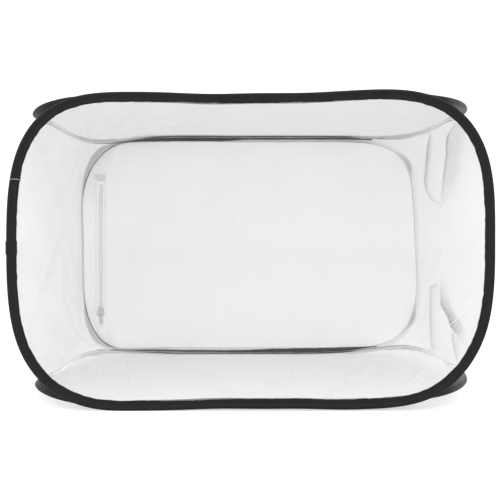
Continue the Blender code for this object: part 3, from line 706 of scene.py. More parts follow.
def wall_reach(y, z, side):
    """How far out the end wall stands over (y, z), which places lie past the short seam of two hoops, that seam's
    heights, and the share of the way from the upright hoop to the level one.

    The wall is ruled: straight lines run from a place at share t of an upright hoop's seam, height H, to the place
    at the same t of a level hoop's seam, depth D, and (y, z) lies on the line where (y-D)/(Y-D) + (z-H)/(Z-H) = 1.
    Halving finds t. Along the line the reach goes evenly from one hoop's to the other's."""
    x, corner, way = np.zeros((3, *y.shape))
    beyond = np.zeros(y.shape, bool)
    for ahead in (True, False):
        for low in (True, False):
            here = ((y < 0) == ahead) & ((z < 0) == low)
            t_up, height, reach_up = inner_edge("front" if ahead else "back", side, low)
            t_level, depth, reach_level = inner_edge("bottom" if low else "top", side, ahead)
            far_y, far_z = np.abs(y[here]), np.abs(z[here])

            def lines(t):
                h, d = np.interp(t, t_up, height), np.interp(t, t_level, depth)
                return (far_y - d) / (WALL_Y - d) + (far_z - h) / (WALL_Z - h), d

            past = lines(np.zeros_like(far_y))[0] > 1
            bottom, top = np.zeros_like(far_y), np.ones_like(far_y)
            for _ in range(40):
                middle = (bottom + top) / 2
                short = lines(middle)[0] < 1
                bottom, top = np.where(short, middle, bottom), np.where(short, top, middle)
            t = np.where(past, 0.0, bottom)
            along = np.clip((WALL_Y - far_y) / (WALL_Y - lines(t)[1]), 0, 1)
            x[here] = STRAIGHT_HALF + t * (reach_up + (reach_level - reach_up) * along)
            beyond[here], way[here] = past, along
            h0, d0 = np.interp(0, t_up, height), np.interp(0, t_level, depth)
            corner[here] = WALL_Z - (WALL_Z - h0) * np.clip((far_y - d0) / (WALL_Y - d0), 0, 1)
    return x, beyond, corner, way


def taut_relief(y, z):
    """The left wall, as (press, shade): a slight hollow, streaks from its back corners, and a soft upright wave."""
    hollow = 0.0050 * dome(y, z, WALL_Y, WALL_Z)
    high, high_shade = streaks(y, z, (0.21, 0.22), 32, 31, -2.40, 0.45)
    low, low_shade = streaks(y, z, (0.21, -0.22), 32, 32, 2.40, 0.45)
    upright = bump(y, 0.135, 0.014) * (1 - ramp(np.abs(z), 0.09, 0.17))
    press = hollow + 0.0008 * (high + low) + 0.0010 * upright + 0.0003 * cloth_noise(y, z, 35, 0.08)
    return press, 0.12 * high_shade + 0.13 * low_shade + 0.14 * upright


def hanging_fold(y, z, knots, height, steep, gentle, dark, thin, valley, deep):
    """One upright fold, as (press, shade): a ridge whose crest runs through the knots (z, y), steep on its front side
    and gentle behind, and whose height changes along it. The shade is a thin line along the crest, and a soft valley
    on its front side."""
    away = y - np.interp(z, *zip(*knots))
    tall = np.interp(z, *zip(*height))
    full = np.clip(tall / max(h for _, h in height), 0, 1)
    press = tall * np.where(away < 0, 1 - ramp(-away, 0, steep), 1 - ramp(away, 0, gentle))
    line = np.where(away < 0, np.exp(away / thin), np.exp(-away / 0.0012))
    soft = np.where(away < 0, 1 - ramp(-away, 0.2 * valley, 1.2 * valley), np.exp(-away / 0.002))
    return press, full * (dark * line + deep * soft)


# The loose wall's folds, as hanging_fold takes them: two that hang and meet in a U below the top, and three that stand
# on the floor. Heights are from the wall's middle, and knots and heights rise.
LOOSE_FOLDS = (
    ([(0.066, -0.004), (0.068, 0.014), (0.0735, 0.034), (0.080, 0.053), (0.088, 0.069), (0.097, 0.077), (0.110, 0.078),
      (0.130, 0.070), (0.159, 0.058), (0.19, 0.060)],
     [(0.057, 0.0), (0.066, 0.0030), (0.10, 0.0050), (0.15, 0.0070), (0.19, 0.0060)],
     0.012, 0.030, 0.95, 0.0035, 0.012, 0.26),
    ([(0.060, -0.006), (0.078, -0.017), (0.088, -0.025), (0.1015, -0.0404), (0.113, -0.0490), (0.136, -0.0606),
      (0.147, -0.0606), (0.181, -0.071), (0.19, -0.074)],
     [(0.064, 0.0), (0.080, 0.0045), (0.10, 0.0085), (0.15, 0.0110), (0.19, 0.0080)],
     0.022, 0.034, 0.85, 0.0035, 0.060, 0.34),
    ([(-0.19, 0.045), (-0.068, 0.047), (-0.062, 0.030), (-0.0575, 0.002)],
     [(-0.19, 0.0030), (-0.15, 0.0040), (-0.09, 0.0045), (-0.066, 0.0038), (-0.053, 0.0)],
     0.009, 0.020, 0.75, 0.0030, 0.030, 0.16),
    ([(-0.135, -0.103), (-0.117, -0.0980), (-0.105, -0.0800), (-0.0906, -0.0370), (-0.071, -0.0210), (-0.060, -0.014)],
     [(-0.134, 0.0), (-0.123, 0.0050), (-0.112, 0.0125), (-0.09, 0.0100), (-0.050, 0.0)],
     0.012, 0.034, 1.20, 0.0060, 0.024, 0.40),
    ([(-0.19, -0.085), (-0.159, -0.0830), (-0.143, -0.0790), (-0.128, -0.0700)],
     [(-0.19, 0.0020), (-0.15, 0.0040), (-0.130, 0.0040), (-0.118, 0.0)],
     0.010, 0.020, 0.75, 0.0035, 0.020, 0.16),
)


def loose_relief(y, z):
    """The right wall: slack cloth in folds, over a slight hollow, with faint streaks from its back corners, and
    painted shade along the folds and streaks.
    """
    low, low_shade = streaks(y, z, (0.21, -0.22), 24, 41, 2.4, 0.5)
    high, high_shade = streaks(y, z, (0.21, 0.22), 24, 43, -2.3, 0.5)
    folds = np.sum([hanging_fold(y, z, *fold) for fold in LOOSE_FOLDS], axis=0)
    hollow = 0.0022 * dome(y, z, WALL_Y, WALL_Z)
    press = hollow + folds[0] + 0.0004 * (low + high) + 0.0004 * cloth_noise(y, z, 44, 0.07)
    return press, folds[1] + 0.05 * (low_shade + high_shade)


def back_band(y, z, side):
    """Where the wall's cloth is doubled along the back seam, at the seam's corners: a mask over the wall, which makes
    the net there less see-through and darkens it with painted shade.
    """
    if side < 0:
        share = 0.95 * ramp(z, 0.066, 0.095) + 0.85 * ramp(-z, 0.088, 0.112)
    else:
        share = 0.85 * bump(z, 0.142, 0.026) + 1.0 * bump(z, -0.127, 0.028)
    wide = 0.034 * np.clip(share, 0, 1)
    return share * ramp(y - WALL_Y + wide, 0.0, 0.007)


def end_wall(piece, side, relief):
    """A net end wall: the ruled surface over a grid of (y, z), pressed in by its relief, and moved with the sway of
    all four hoops. Corner cells past the short seam between two hoops are left out. Also gives its edge along each
    hoop."""
    rows = columns = 200
    share = np.sin(np.linspace(-np.pi / 2, np.pi / 2, rows + 1))
    y, z = np.broadcast_arrays(share[None] * WALL_Y, share[:, None] * WALL_Z)
    x, beyond, corner, way = wall_reach(y, z, side)
    z = np.where(beyond, np.sign(z) * corner, z)
    near_edge = np.minimum(WALL_Y - np.abs(y), WALL_Z - np.abs(z))
    press, shade = relief(y, z)
    u = side * (x - press * ramp(near_edge, 0.0, 0.03))
    height = HALF_TALL + z
    high_share, low_share = (np.clip(share, 0, 1) ** 3 for share in (height / 0.39, 1 - height / 0.39))
    seam_high, seam_low = (np.clip(over * z / WALL_Z, 0, 1) ** 6 for over in (1, -1))
    lift = sway("top", u, y)[2] * high_share - sway("bottom", u, y)[2] * low_share
    lift = (lift - leg_drop("top", u, y) * seam_high + leg_drop("bottom", u, y) * seam_low) * way
    for name, toward in (("front", -1), ("back", 1)):
        share = np.clip(toward * y / WALL_Y, 0, 1) ** 2 * (1 - way)
        along, up = bend(name, u, z)
        u, lift = u + share * along, lift + share * up
    height = height + lift
    points = np.stack([u, y, height], -1)
    faces = grid_faces(rows + 1, columns + 1)
    faces = faces[~beyond.ravel()[faces].all(1)]
    across = np.cumsum(np.hypot(np.diff(x, axis=1), np.diff(y, axis=1)), 1)
    across = np.concatenate([np.zeros((rows + 1, 1)), across], 1)
    across = across - across[:, columns // 2][:, None]
    made = new_mesh(piece, points.reshape(-1, 3), flipped(faces) if side < 0 else faces,
                    np.stack([across, height], -1).reshape(-1, 2))
    # The fold mask: painted shade along the folds and streaks, and along the back seam's corners.
    set_mask(made, "fold", np.clip(shade, 0, 1.6) * ramp(near_edge, 0.0, 0.012) + 0.8 * back_band(y, z, side))
    ends = {"front": np.s_[:, 0], "back": np.s_[:, -1], "bottom": np.s_[0], "top": np.s_[-1]}
    return made, {hoop: points[end][~beyond[end]] for hoop, end in ends.items()}


def seam_strip(name, level, upright):
    """The net across a straight seam between two hoops: a narrow ruled strip from the level hoop's inner edge to the
    upright hoop's, as long as the straight runs, bowed a little to the inside."""
    u = np.linspace(-STRAIGHT_HALF, STRAIGHT_HALF, 181)
    share = np.linspace(0, 1, 9)
    ahead = -1 if upright == "front" else 1
    over = 1 if level == "top" else -1
    level_edge = place(level, u, np.full_like(u, ahead * LEVEL_SEAM), SEAM_OFF)
    upright_edge = place(upright, u, np.full_like(u, over * UPRIGHT_SEAM), SEAM_OFF)
    points = level_edge[:, None] * (1 - share)[None, :, None] + upright_edge[:, None] * share[None, :, None]
    bow = (0.0012 + 0.0003 * ripple(u, 0.6, 51, 0.1, 0.02)[:, None]) * np.sin(np.pi * share)
    points[..., 1] -= ahead * bow
    points[..., 2] -= over * bow
    uv = np.stack(np.broadcast_arrays(u[:, None], share[None] * 0.017), -1).reshape(-1, 2)
    faces = grid_faces(len(u), len(share))
    return new_mesh(name, points.reshape(-1, 3), faces if ahead * over < 0 else flipped(faces), uv)


def seam_at(name, u, low):
    """How far from the hoop's middle its seam lies at each u, on its high or far side, or its low or near side."""
    sides = []
    for side in (-1, 1):
        t, reached, reach = inner_edge(name, side, low)
        sides.append(np.interp((np.abs(u) - STRAIGHT_HALF) / reach, t, reached))
    return np.where(u < 0, *sides)


def seam_tape(name, level, width, at):
    """The black tape on the inside of a back seam: a strip along the seam, with its width and its place across the
    seam as (u, value) along it.

    It lies on the strip of net from the level hoop to the upright one, that far across, and stands a little in front
    of it."""
    u = np.linspace(width[0][0], width[-1][0], 420)
    over = 1 if level == "top" else -1
    level_edge = place(level, u, seam_at(level, u, False), SEAM_OFF)
    upright_edge = place("back", u, over * seam_at("back", u, over < 0), SEAM_OFF)
    across = upright_edge - level_edge
    across /= np.linalg.norm(across, axis=1, keepdims=True)
    wide = np.interp(u, *zip(*width)) * (1 + 0.10 * ripple(u, 0.6, 61, 0.10, 0.012, 14))
    lay = np.linspace(-0.5, 0.5, 7)
    spread = np.interp(u, *zip(*at))[:, None] + lay[None] * wide[:, None]
    points = level_edge[:, None] + across[:, None] * spread[..., None]
    stand = 0.0022 + 0.0003 * np.cos(np.pi * lay)[None] + 0.0002 * ripple(u, 0.6, 62, 0.08, 0.02)[:, None]
    points[..., 1] -= stand
    points[..., 2] -= over * stand * 0.7
    uv = np.stack(np.broadcast_arrays(u[:, None], spread), -1).reshape(-1, 2)
    faces = grid_faces(len(u), len(lay))
    made = new_mesh(name, points.reshape(-1, 3), faces if over < 0 else flipped(faces), uv)
    thicken(made, 0.0005)
    return made


# ---------------------------------------------------------------- the zip


def zip_tape(name, side):
    """A woven zip tape: a flat strip with a turned-in outer edge and a slight wave along it."""
    z = np.linspace(0.0666, 0.3234, 240)
    across = np.linspace(0, 1, 13)
    x = ZIP_X + side * (0.0007 + 0.0088 * across)
    wave = 0.00022 * ripple(z, 0.6, 71 + side, 0.06, 0.015)[:, None] * ramp(across, 0.3, 1.0)
    y = ZIP_CLOTH_Y + wave + 0.0001 * bump(across, 1.0, 0.1)
    points = np.stack(np.broadcast_arrays(x[None], y, z[:, None]), -1)
    uv = np.stack(np.broadcast_arrays(across[None] * 0.008, z[:, None]), -1).reshape(-1, 2)
    faces = grid_faces(len(z), len(across))
    made = new_mesh(name, points.reshape(-1, 3), faces if side < 0 else flipped(faces), uv)
    thicken(made, 0.0006)
    return made


def zip_teeth(name, side):
    """A row of moulded teeth on its cord: each tooth a small rounded block that narrows to a neck, set at the pitch.

    A tooth is a profile of widths along its length, carried over a rounded section; the cord is a round bar."""
    count = int((ROW_HIGH - ROW_LOW) / TOOTH_PITCH)
    middle = ROW_LOW + TOOTH_PITCH * (0.75 if side > 0 else 0.25) + np.arange(count) * TOOTH_PITCH
    reach = np.array([0.0, 0.0004, 0.0012, 0.0019, 0.0026, 0.0029])[:, None]
    half_wide = np.array([0.00125, 0.00120, 0.00075, 0.00085, 0.00100, 0.00060])[:, None]
    half_tall = np.array([0.00078, 0.00080, 0.00070, 0.00074, 0.00074, 0.00045])[:, None]
    cos, sin = np.cos(circle(10)), np.sin(circle(10))
    x = ZIP_X + side * (0.0020 - reach)
    y = ROW_Y + half_tall * np.sign(sin) * np.abs(sin) ** 0.6
    z = middle[:, None, None] + half_wide * np.sign(cos) * np.abs(cos) ** 0.6
    teeth = np.stack(np.broadcast_arrays(x, y, z), -1).reshape(-1, 3)
    ends = np.array([[0, 1, 2, 3], [0, 3, 4, 9], [4, 5, 8, 9], [5, 6, 7, 8]])
    tooth = np.concatenate([grid_faces(6, 10, False, True), ends, flipped(ends + 50)])
    tooth = (tooth[None] + 60 * np.arange(count)[:, None, None]).reshape(-1, 4)
    cord_z = np.linspace(ROW_LOW, ROW_HIGH, 200)[:, None]
    cord = np.stack(np.broadcast_arrays(ZIP_X + side * (0.0024 + 0.0006 * cos), ROW_Y + 0.0007 * sin, cord_z), -1)
    bar = np.vstack([grid_faces(200, 10, False, True), ends, flipped(ends + 1990)])
    points = np.vstack([teeth, cord.reshape(-1, 3)])
    made = new_mesh(name, points, np.vstack([tooth, bar + len(teeth)]), points[:, [0, 2]])
    shells_outwards(made)
    return made


def zip_stitches():
    """Two rows of straight stitches down each zip tape: each stitch is a low arched bar, set at the pitch."""
    low, high, pitch, radius = 0.070, 0.320, 0.0028, 0.00018
    count = int((high - low) / pitch)
    at = low + (np.arange(count) + 0.5) * (high - low) / count
    z = (at[:, None] + np.linspace(-0.5, 0.5, 5) * pitch * 0.7)[..., None]
    arch = radius * np.array([-1.0, 0.5, 0.9, 0.5, -1.0])[:, None]
    y = ZIP_THREAD_Y + arch + radius * np.sin(circle(6))
    rows = []
    for side in (-1, 1):
        for away in (0.0056, 0.0086):
            x = ZIP_X + side * away - radius * np.cos(circle(6))
            rows.append(np.stack(np.broadcast_arrays(x, y, z), -1).reshape(-1, 3))
    points = np.vstack(rows)
    made = new_mesh("zip_stitches", points, bars(len(points) // 30), points[:, [0, 2]])
    shells_outwards(made)
    return made


# ---------------------------------------------------------------- materials


def group(name, inputs, outputs):
    """A node group, with inputs by name and first value, which are numbers or vectors, and outputs by name."""
    made = bpy.data.node_groups.new(name, "ShaderNodeTree")
    for label, value in inputs.items():
        kind = "NodeSocketVector" if isinstance(value, tuple) else "NodeSocketFloat"
        made.interface.new_socket(label, in_out="INPUT", socket_type=kind).default_value = value
    for label in outputs:
        made.interface.new_socket(label, in_out="OUTPUT", socket_type="NodeSocketFloat")
    return made, made.nodes.new("NodeGroupInput"), made.nodes.new("NodeGroupOutput")


def add(tree, kind, values=(), links=(), **settings):
    """A node with settings, values for its inputs by number or name, and links into its inputs."""
    node = tree.nodes.new(kind)
    for key, value in settings.items():
        setattr(node, key, value)
    for key, value in dict(values).items():
        node.inputs[key].default_value = value
    for key, source in dict(links).items():
        tree.links.new(source, node.inputs[key])
    return node


def use(tree, shared, values, where):
    """A shared group placed in a material with its own values, over the places that its first input takes."""
    return add(tree, "ShaderNodeGroup", values, {0: where}, node_tree=shared)


def sums(tree, operation, a, b=None, c=None):
    """A Math node's output, for values or sockets."""
    node = tree.nodes.new("ShaderNodeMath")
    node.operation = operation
    for slot, value in enumerate((a, b, c)):
        if value is None:
            continue
        if isinstance(value, (int, float)):
            node.inputs[slot].default_value = value
        else:
            tree.links.new(value, node.inputs[slot])
    return node.outputs[0]


def weave_group():
    """Plain weave: two crossing sets of threads at a pitch, from a flat map in metres. Cover is 1 on a thread and
    falls to 0 in a hole, and Height is the threads' round tops, which go over and under in turn."""
    tree, inside, out = group("plain_weave", {"Map": (0, 0, 0), "Pitch": 0.0008}, ["Cover", "Height"])
    parts = add(tree, "ShaderNodeSeparateXYZ", links={0: inside.outputs["Map"]})
    half = sums(tree, "DIVIDE", math.pi, inside.outputs["Pitch"])
    across = sums(tree, "MULTIPLY", parts.outputs["X"], half)
    along = sums(tree, "MULTIPLY", parts.outputs["Y"], half)
    warp = sums(tree, "ABSOLUTE", sums(tree, "SINE", across))
    weft = sums(tree, "ABSOLUTE", sums(tree, "SINE", along))
    over = sums(tree, "MULTIPLY", sums(tree, "COSINE", across), sums(tree, "COSINE", along))
    cover = sums(tree, "MAXIMUM", warp, weft)
    tree.links.new(cover, out.inputs["Cover"])
    lift = sums(tree, "MULTIPLY_ADD", over, sums(tree, "SUBTRACT", warp, weft), cover)
    tree.links.new(lift, out.inputs["Height"])
    return tree


def grain_group():
    """Uneven yarn: noise at a size, drawn out along one way of the cloth, about 0, for colour and cover."""
    tree, inside, out = group("uneven_yarn", {"Map": (0, 0, 0), "Size": 300.0, "Drawn": 0.05}, ["Shade"])
    parts = add(tree, "ShaderNodeSeparateXYZ", links={0: inside.outputs["Map"]})
    across = sums(tree, "MULTIPLY", parts.outputs["X"], inside.outputs["Size"])
    along = sums(tree, "MULTIPLY", parts.outputs["Y"], inside.outputs["Size"])
    along = sums(tree, "MULTIPLY", along, inside.outputs["Drawn"])
    joined = add(tree, "ShaderNodeCombineXYZ", links={0: across, 1: along})
    noise = add(tree, "ShaderNodeTexNoise", {"Scale": 1.0, "Detail": 2.0}, {"Vector": joined.outputs[0]},
                noise_dimensions="2D")
    tree.links.new(sums(tree, "SUBTRACT", noise.outputs["Fac"], 0.5), out.inputs["Shade"])
    return tree


def wear_group():
    """Fine scuffs and soft clouds on hard pieces, from Object coordinates: Shade about 0, and Height."""
    tree, inside, out = group("handling_marks", {"Where": (0, 0, 0), "Size": 400.0}, ["Shade", "Height"])
    scaled = add(tree, "ShaderNodeVectorMath", links={0: inside.outputs["Where"], 1: inside.outputs["Size"]},
                 operation="MULTIPLY")
    cloud = add(tree, "ShaderNodeTexNoise", {"Scale": 0.35, "Detail": 3.0}, {"Vector": scaled.outputs[0]})
    marks = add(tree, "ShaderNodeTexNoise", {"Scale": 4.0, "Detail": 1.0}, {"Vector": scaled.outputs[0]})
    cloud_shade = sums(tree, "SUBTRACT", cloud.outputs["Fac"], 0.5)
    mark_shade = sums(tree, "SUBTRACT", marks.outputs["Fac"], 0.5)
    total = sums(tree, "ADD", cloud_shade, sums(tree, "MULTIPLY", mark_shade, 0.5))
    tree.links.new(total, out.inputs["Shade"])
    tree.links.new(marks.outputs["Fac"], out.inputs["Height"])
    return tree


def finish(name, **sockets):
    """A new material and its Principled shader, with values set on the shader's own sockets."""
    made = bpy.data.materials.new(name)
    made.use_nodes = True
    tree = made.node_tree
    shader = tree.nodes["Principled BSDF"]
    for key, value in sockets.items():
        shader.inputs[key.replace("_", " ")].default_value = value
    return made, tree, shader


def tinted(tree, shade, strength, colour):
    """A colour made lighter and darker by a shade about 0: colour times (1 + strength * shade)."""
    factor = sums(tree, "MULTIPLY_ADD", shade, strength, 1.0)
    node = add(tree, "ShaderNodeVectorMath", {0: colour[:3]}, operation="SCALE")
    tree.links.new(factor, node.inputs["Scale"])
    return node.outputs[0]


def flat_map(tree):
    """The piece's own UV map, in metres over its cloth."""
    return add(tree, "ShaderNodeUVMap", uv_map="UVMap").outputs[0]


def stored(tree, name):
    """The mask that a piece stores at its points under a name, which is 0 where it stores none."""
    return add(tree, "ShaderNodeAttribute", attribute_name=name).outputs["Fac"]


def emboss(tree, shader, height, strength):
    """Leads a height to the shader's normal."""
    relief = add(tree, "ShaderNodeBump", {"Strength": strength, "Distance": 0.0002}, {"Height": height})
    tree.links.new(relief.outputs[0], shader.inputs["Normal"])


def paint_glow(tree, shader, mask, strength):
    """A faint painted glow over a mask, which stands for the light that comes through thin cloth."""
    glow = sums(tree, "MULTIPLY", mask, strength)
    grey = add(tree, "ShaderNodeCombineXYZ", links={0: glow, 1: glow, 2: glow})
    tree.links.new(grey.outputs[0], shader.inputs["Emission Color"])
    shader.inputs["Emission Strength"].default_value = 1.0


def net_material(shared, name, thin, thick):
    """White insect net: a fine plain weave whose holes let light through, with faint streaks of uneven yarn. Alpha
    goes from thin in a hole to thick on a thread, and rises in the folds and at the hem. Painted shade darkens it in
    the folds, and a painted glow lightens the hem."""
    made, tree, shader = finish(name, Roughness=0.85, Sheen_Weight=0.12, Specular_IOR_Level=0.2)
    where = flat_map(tree)
    weave = use(tree, shared["weave"], {"Pitch": 0.0009}, where)
    grain = use(tree, shared["grain"], {"Size": 260.0, "Drawn": 0.05}, where)
    cloud = use(tree, shared["grain"], {"Size": 34.0, "Drawn": 0.8}, where)
    fold, hem = stored(tree, "fold"), stored(tree, "hem")
    shade = sums(tree, "MULTIPLY_ADD", cloud.outputs[0], 0.35, sums(tree, "MULTIPLY", grain.outputs[0], 0.5))
    # Painted shade: the fold mask darkens the net's colour.
    shade = sums(tree, "MULTIPLY_ADD", fold, -7.5, shade)
    tree.links.new(tinted(tree, shade, 0.06, (0.90, 0.905, 0.895)), shader.inputs["Base Color"])
    cover = sums(tree, "MULTIPLY_ADD", weave.outputs["Cover"], thick - thin, thin)
    cover = sums(tree, "ADD", cover, sums(tree, "MULTIPLY", grain.outputs[0], 0.03))
    cover = sums(tree, "MULTIPLY_ADD", fold, 0.28, cover)
    cover = sums(tree, "MULTIPLY_ADD", hem, 0.6, cover)
    tree.links.new(sums(tree, "MINIMUM", cover, 1.0), shader.inputs["Alpha"])
    # Painted light: a glow at the hem, so that the opaque hem looks as light as the open net.
    paint_glow(tree, shader, hem, 0.26)
    emboss(tree, shader, weave.outputs["Height"], 0.25)
    return made


def tape_material(shared, name, colour, strength=0.5):
    """Woven nylon, as tape or thread: fine ribs along it, uneven yarn and a dull sheen, paler where sheen is painted
    on it where the light catches it, and palest where it is lined with net, which also gets a painted glow."""
    made, tree, shader = finish(name, Roughness=0.55, Sheen_Weight=0.10, Sheen_Roughness=0.3, Specular_IOR_Level=0.16)
    where = flat_map(tree)
    weave = use(tree, shared["weave"], {"Pitch": 0.0007}, where)
    grain = use(tree, shared["grain"], {"Size": 500.0, "Drawn": 0.6}, where)
    cloud = use(tree, shared["grain"], {"Size": 60.0, "Drawn": 1.0}, where)
    lined = stored(tree, "lined")
    shade = sums(tree, "ADD", grain.outputs[0], cloud.outputs[0])
    shade = sums(tree, "ADD", shade, sums(tree, "MULTIPLY", weave.outputs["Cover"], 0.3))
    # Painted sheen: paler where the tape's sheen mask is set, on the lobes that face the light.
    shade = sums(tree, "MULTIPLY_ADD", stored(tree, "painted_sheen"), 15.0 / strength, shade)
    shade = sums(tree, "MULTIPLY_ADD", lined, 80.0 / strength, shade)
    tree.links.new(tinted(tree, shade, strength, colour), shader.inputs["Base Color"])
    # Painted light: a glow where the tape is lined with net.
    paint_glow(tree, shader, lined, 0.28)
    emboss(tree, shader, weave.outputs["Height"], 0.35)
    return made


def film_material(shared):
    """Clear soft film: almost all light passes, and the creases are painted milky white, partly as whitened film and
    partly as a painted highlight.
    """
    made, tree, shader = finish("clear_film", Roughness=0.16, Specular_IOR_Level=0.5)
    haze = use(tree, shared["grain"], {"Size": 24.0, "Drawn": 0.7}, flat_map(tree)).outputs[0]
    tree.links.new(tinted(tree, haze, 0.05, (0.97, 0.98, 0.98)), shader.inputs["Base Color"])
    # Painted highlight: the crease mask makes the film milky white along its creases, partly for whitened film.
    milky = sums(tree, "MULTIPLY_ADD", stored(tree, "crease"), 0.55, sums(tree, "MULTIPLY_ADD", haze, 0.05, 0.045))
    tree.links.new(milky, shader.inputs["Alpha"])
    return made


def hard_material(shared, name, colour, strength, relief, size, roughness, **sockets):
    """Metal or moulded plastic with handling marks, which change its colour, its roughness and its relief."""
    made, tree, shader = finish(name, Roughness=roughness, **sockets)
    where = add(tree, "ShaderNodeTexCoord").outputs["Object"]
    marks = use(tree, shared["wear"], {"Size": size}, where)
    tree.links.new(tinted(tree, marks.outputs["Shade"], strength, colour), shader.inputs["Base Color"])
    tree.links.new(sums(tree, "MULTIPLY_ADD", marks.outputs["Shade"], 0.25, roughness), shader.inputs["Roughness"])
    emboss(tree, shader, marks.outputs["Height"], relief)
    return made


# ---------------------------------------------------------------- stage, lights and camera


def seen(tree):
    """1 for rays from the camera, in gloss and through glass, and 0 for the others."""
    path = tree.nodes.new("ShaderNodeLightPath")
    total = sums(tree, "MAXIMUM", path.outputs["Is Camera Ray"], path.outputs["Is Glossy Ray"])
    return sums(tree, "MAXIMUM", total, path.outputs["Is Transmission Ray"])


def stage():
    """A white floor and surroundings. Seen by the camera and in gloss they are white; the floor keeps its shadow."""
    floor = new_mesh("floor", [(-6, -6, FLOOR_Z), (6, -6, FLOOR_Z), (6, 9, FLOOR_Z), (-6, 9, FLOOR_Z)],
                     [[0, 1, 2, 3]], smooth=False)
    made, tree, shader = finish("white_floor", Base_Color=FLOOR_GREY, Roughness=0.9, Specular_IOR_Level=0.0,
                                Emission_Color=WHITE)
    tree.links.new(sums(tree, "MULTIPLY", seen(tree), FLOOR_GLOW), shader.inputs["Emission Strength"])
    floor.data.materials.append(made)
    world = bpy.data.worlds.new("surroundings")
    bpy.context.scene.world = world
    world.use_nodes = True
    tree = world.node_tree
    back = tree.nodes["Background"]
    back.inputs["Color"].default_value = WHITE
    strength = sums(tree, "MULTIPLY_ADD", seen(tree), WORLD_SEEN - WORLD_LIGHT, WORLD_LIGHT)
    tree.links.new(strength, back.inputs["Strength"])


def lamp(name, at, size, power):
    """A square soft lamp, turned to the middle of the cage's lower half."""
    data = bpy.data.lights.new(name, "AREA")
    data.size = size
    data.energy = power
    made = bpy.data.objects.new(name, data)
    made.location = at
    made.rotation_euler = (Vector((0, 0, 0.2)) - Vector(at)).to_track_quat("-Z", "Y").to_euler()
    bpy.context.scene.collection.objects.link(made)


def camera():
    """The camera, level and square to the window."""
    data = bpy.data.cameras.new("camera")
    data.lens = LENS
    data.sensor_width = 36.0
    data.shift_x, data.shift_y = SHIFT
    data.clip_end = 50
    made = bpy.data.objects.new("camera", data)
    made.location = CAMERA_AT
    made.rotation_euler = (math.pi / 2, 0, 0)
    bpy.context.scene.collection.objects.link(made)
    bpy.context.scene.camera = made


# ---------------------------------------------------------------- putting it together


def dress(piece, material, slot, body, *nodes):
    """Gives a piece its material, makes it ride on a body, and hides the CAD nodes that it stands for. The slot is not
    used.
    """
    piece.data.materials.clear()
    piece.data.materials.append(material)
    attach(piece, body)
    if nodes:
        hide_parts(*nodes)
    return piece


def flatten(piece):
    """Gives a piece its own copy of its mesh."""
    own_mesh(piece)


def finishes():
    """All materials, by the maker's names for them."""
    shared = {"weave": weave_group(), "grain": grain_group(), "wear": wear_group()}
    return {
        "net": net_material(shared, "insect_net", 0.30, 0.86),
        "zip cloth": net_material(shared, "zip_tape_cloth", 0.16, 0.58),
        "tape": tape_material(shared, "black_tape", (0.0105, 0.0105, 0.011)),
        "black thread": tape_material(shared, "black_thread", (0.016, 0.016, 0.017), 0.8),
        "pale thread": tape_material(shared, "pale_thread", (0.50, 0.50, 0.50), 0.4),
        "grey thread": tape_material(shared, "grey_thread", (0.10, 0.10, 0.10), 0.4),
        "film": film_material(shared),
        "wire": hard_material(shared, "drawn_wire", (0.42, 0.42, 0.44), 0.3, 0.1, 900.0, 0.32, Metallic=1.0),
        "nylon": hard_material(shared, "moulded_nylon", (0.86, 0.86, 0.85), 0.06, 0.05, 500.0, 0.38),
        "zinc": hard_material(shared, "plated_zinc", (0.62, 0.61, 0.58), 0.22, 0.12, 700.0, 0.3, Metallic=1.0),
    }


def hoops(finish_of):
    """The taped hoops: tape, wire, ferrule and stitches."""
    for seed, (name, hoop) in enumerate(HOOPS.items()):
        seed = 100 + 10 * seed
        pieces = (
            dress(tape(name, seed), finish_of["tape"], "black_tape", hoop["body"], f"{name}_binding"),
            dress(wire(name), finish_of["wire"], "spring_steel", hoop["body"], f"{name}_hoop_wire"),
            dress(ferrule(name), finish_of["wire"], "spring_steel", hoop["body"], f"{name}_wire_ferrule"),
            dress(stitches(name, seed), finish_of["black thread"], "black_tape", hoop["body"]),
        )
        if name != "front":
            for piece in pieces:
                flatten(piece)
    dress(loose_thread(), finish_of["nylon"], "white_nylon", "front_frame")


def sheets(finish_of):
    """The nets and the film that the hoops hold."""
    nets = (("top", SHEET_INSET, top_relief, None, 0.374), ("bottom", SHEET_INSET, bottom_relief, None, 0.374),
            ("back", BACK_INSET, back_relief, ZIP_SLIT, 0.377))
    for name, inset, relief, slit, deep in nets:
        net = dress(panel(name, inset, relief, slit), finish_of["net"], "white_mesh", f"{name}_frame", f"{name}_panel")
        flatten(net)
    film = dress(window(), finish_of["film"], "clear_film", "front_frame", "front_window")


def end_walls(finish_of):
    """The two loose walls, and the cords of thread that sew them to the hoops behind the front one."""
    for side, word, relief in ((-1, "left", taut_relief), (1, "right", loose_relief)):
        wall, edges = end_wall(f"{word}_net_wall", side, relief)
        dress(wall, finish_of["net"], "white_mesh", "bottom_frame", f"{word}_end_wall")
        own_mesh(wall)
        for hoop in ("back", "bottom", "top"):
            radius, thread = (0.0003, "grey thread") if hoop == "back" else (0.0002, "pale thread")
            cord = tube(f"{hoop}_{word}_seam", edges[hoop], radius, 6)
            dress(cord, finish_of[thread], "black_tape", HOOPS[hoop]["body"])
            flatten(cord)


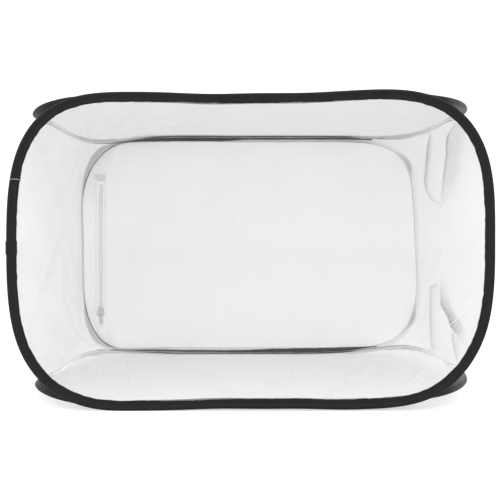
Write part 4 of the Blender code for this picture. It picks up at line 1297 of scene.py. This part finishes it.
def straight_seams(finish_of):
    """The strips of net between the hoops' straight runs, and the tapes inside the two back seams."""
    for level in ("top", "bottom"):
        for upright in ("front", "back"):
            strip = seam_strip(f"{upright}_{level}_seam_net", level, upright)
            dress(strip, finish_of["net"], "white_mesh", HOOPS[upright]["body"])
            flatten(strip)
    for level, width, at in (
        ("top",
         [(-0.243, 0.0050), (-0.225, 0.0085), (-0.05, 0.0100), (-0.015, 0.0050), (0.03, 0.0040), (0.215, 0.0040)],
         [(-0.243, 0.0095), (-0.222, 0.0080), (-0.20, 0.0060), (-0.05, 0.0056), (-0.015, 0.0034), (0.215, 0.0026)]),
        ("bottom",
         [(-0.243, 0.0030), (-0.02, 0.0045), (0.05, 0.0095), (0.16, 0.0120), (0.205, 0.0090), (0.225, 0.0040)],
         [(-0.243, 0.0080), (-0.20, 0.0045), (-0.02, 0.0028), (0.05, 0.0050), (0.16, 0.0062), (0.225, 0.0090)]),
    ):
        strip = seam_tape(f"back_{level}_seam_tape", level, width, at)
        dress(strip, finish_of["tape"], "black_tape", "back_frame")
        flatten(strip)


def zip_fastener(finish_of):
    """The zip's cloths, rows of teeth and stitches. Its metal pieces are the CAD's own, with a finish."""
    for side, word in ((-1, "left"), (1, "right")):
        strip = zip_tape(f"zip_cloth_{word}", side)
        dress(strip, finish_of["zip cloth"], "white_mesh", "back_frame", f"zip_tape_{word}")
        teeth = zip_teeth(f"zip_row_{word}", side)
        dress(teeth, finish_of["nylon"], "white_nylon", "back_frame", f"zip_teeth_{word}")
        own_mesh(teeth)
    dress(zip_stitches(), finish_of["zip cloth"], "white_mesh", "back_frame")
    for node in ("zip_slider", "zip_pull", "zip_stop_left", "zip_stop_right", "zip_end_stop"):
        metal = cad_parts[node]
        metal.data.materials.clear()
        metal.data.materials.append(finish_of["zinc"])


def main():
    camera()
    stage()
    lamp("soft_key", (1.6, -1.5, 1.9), 1.6, 12.0)
    lamp("soft_fill", (-1.8, -1.6, 1.2), 1.8, 15.0)
    finish_of = finishes()
    hoops(finish_of)
    sheets(finish_of)
    end_walls(finish_of)
    straight_seams(finish_of)
    zip_fastener(finish_of)
    bpy.context.scene.view_settings.view_transform = "Standard"


BENT = {name: bend_table(name) for name in ("front", "back")}
main()
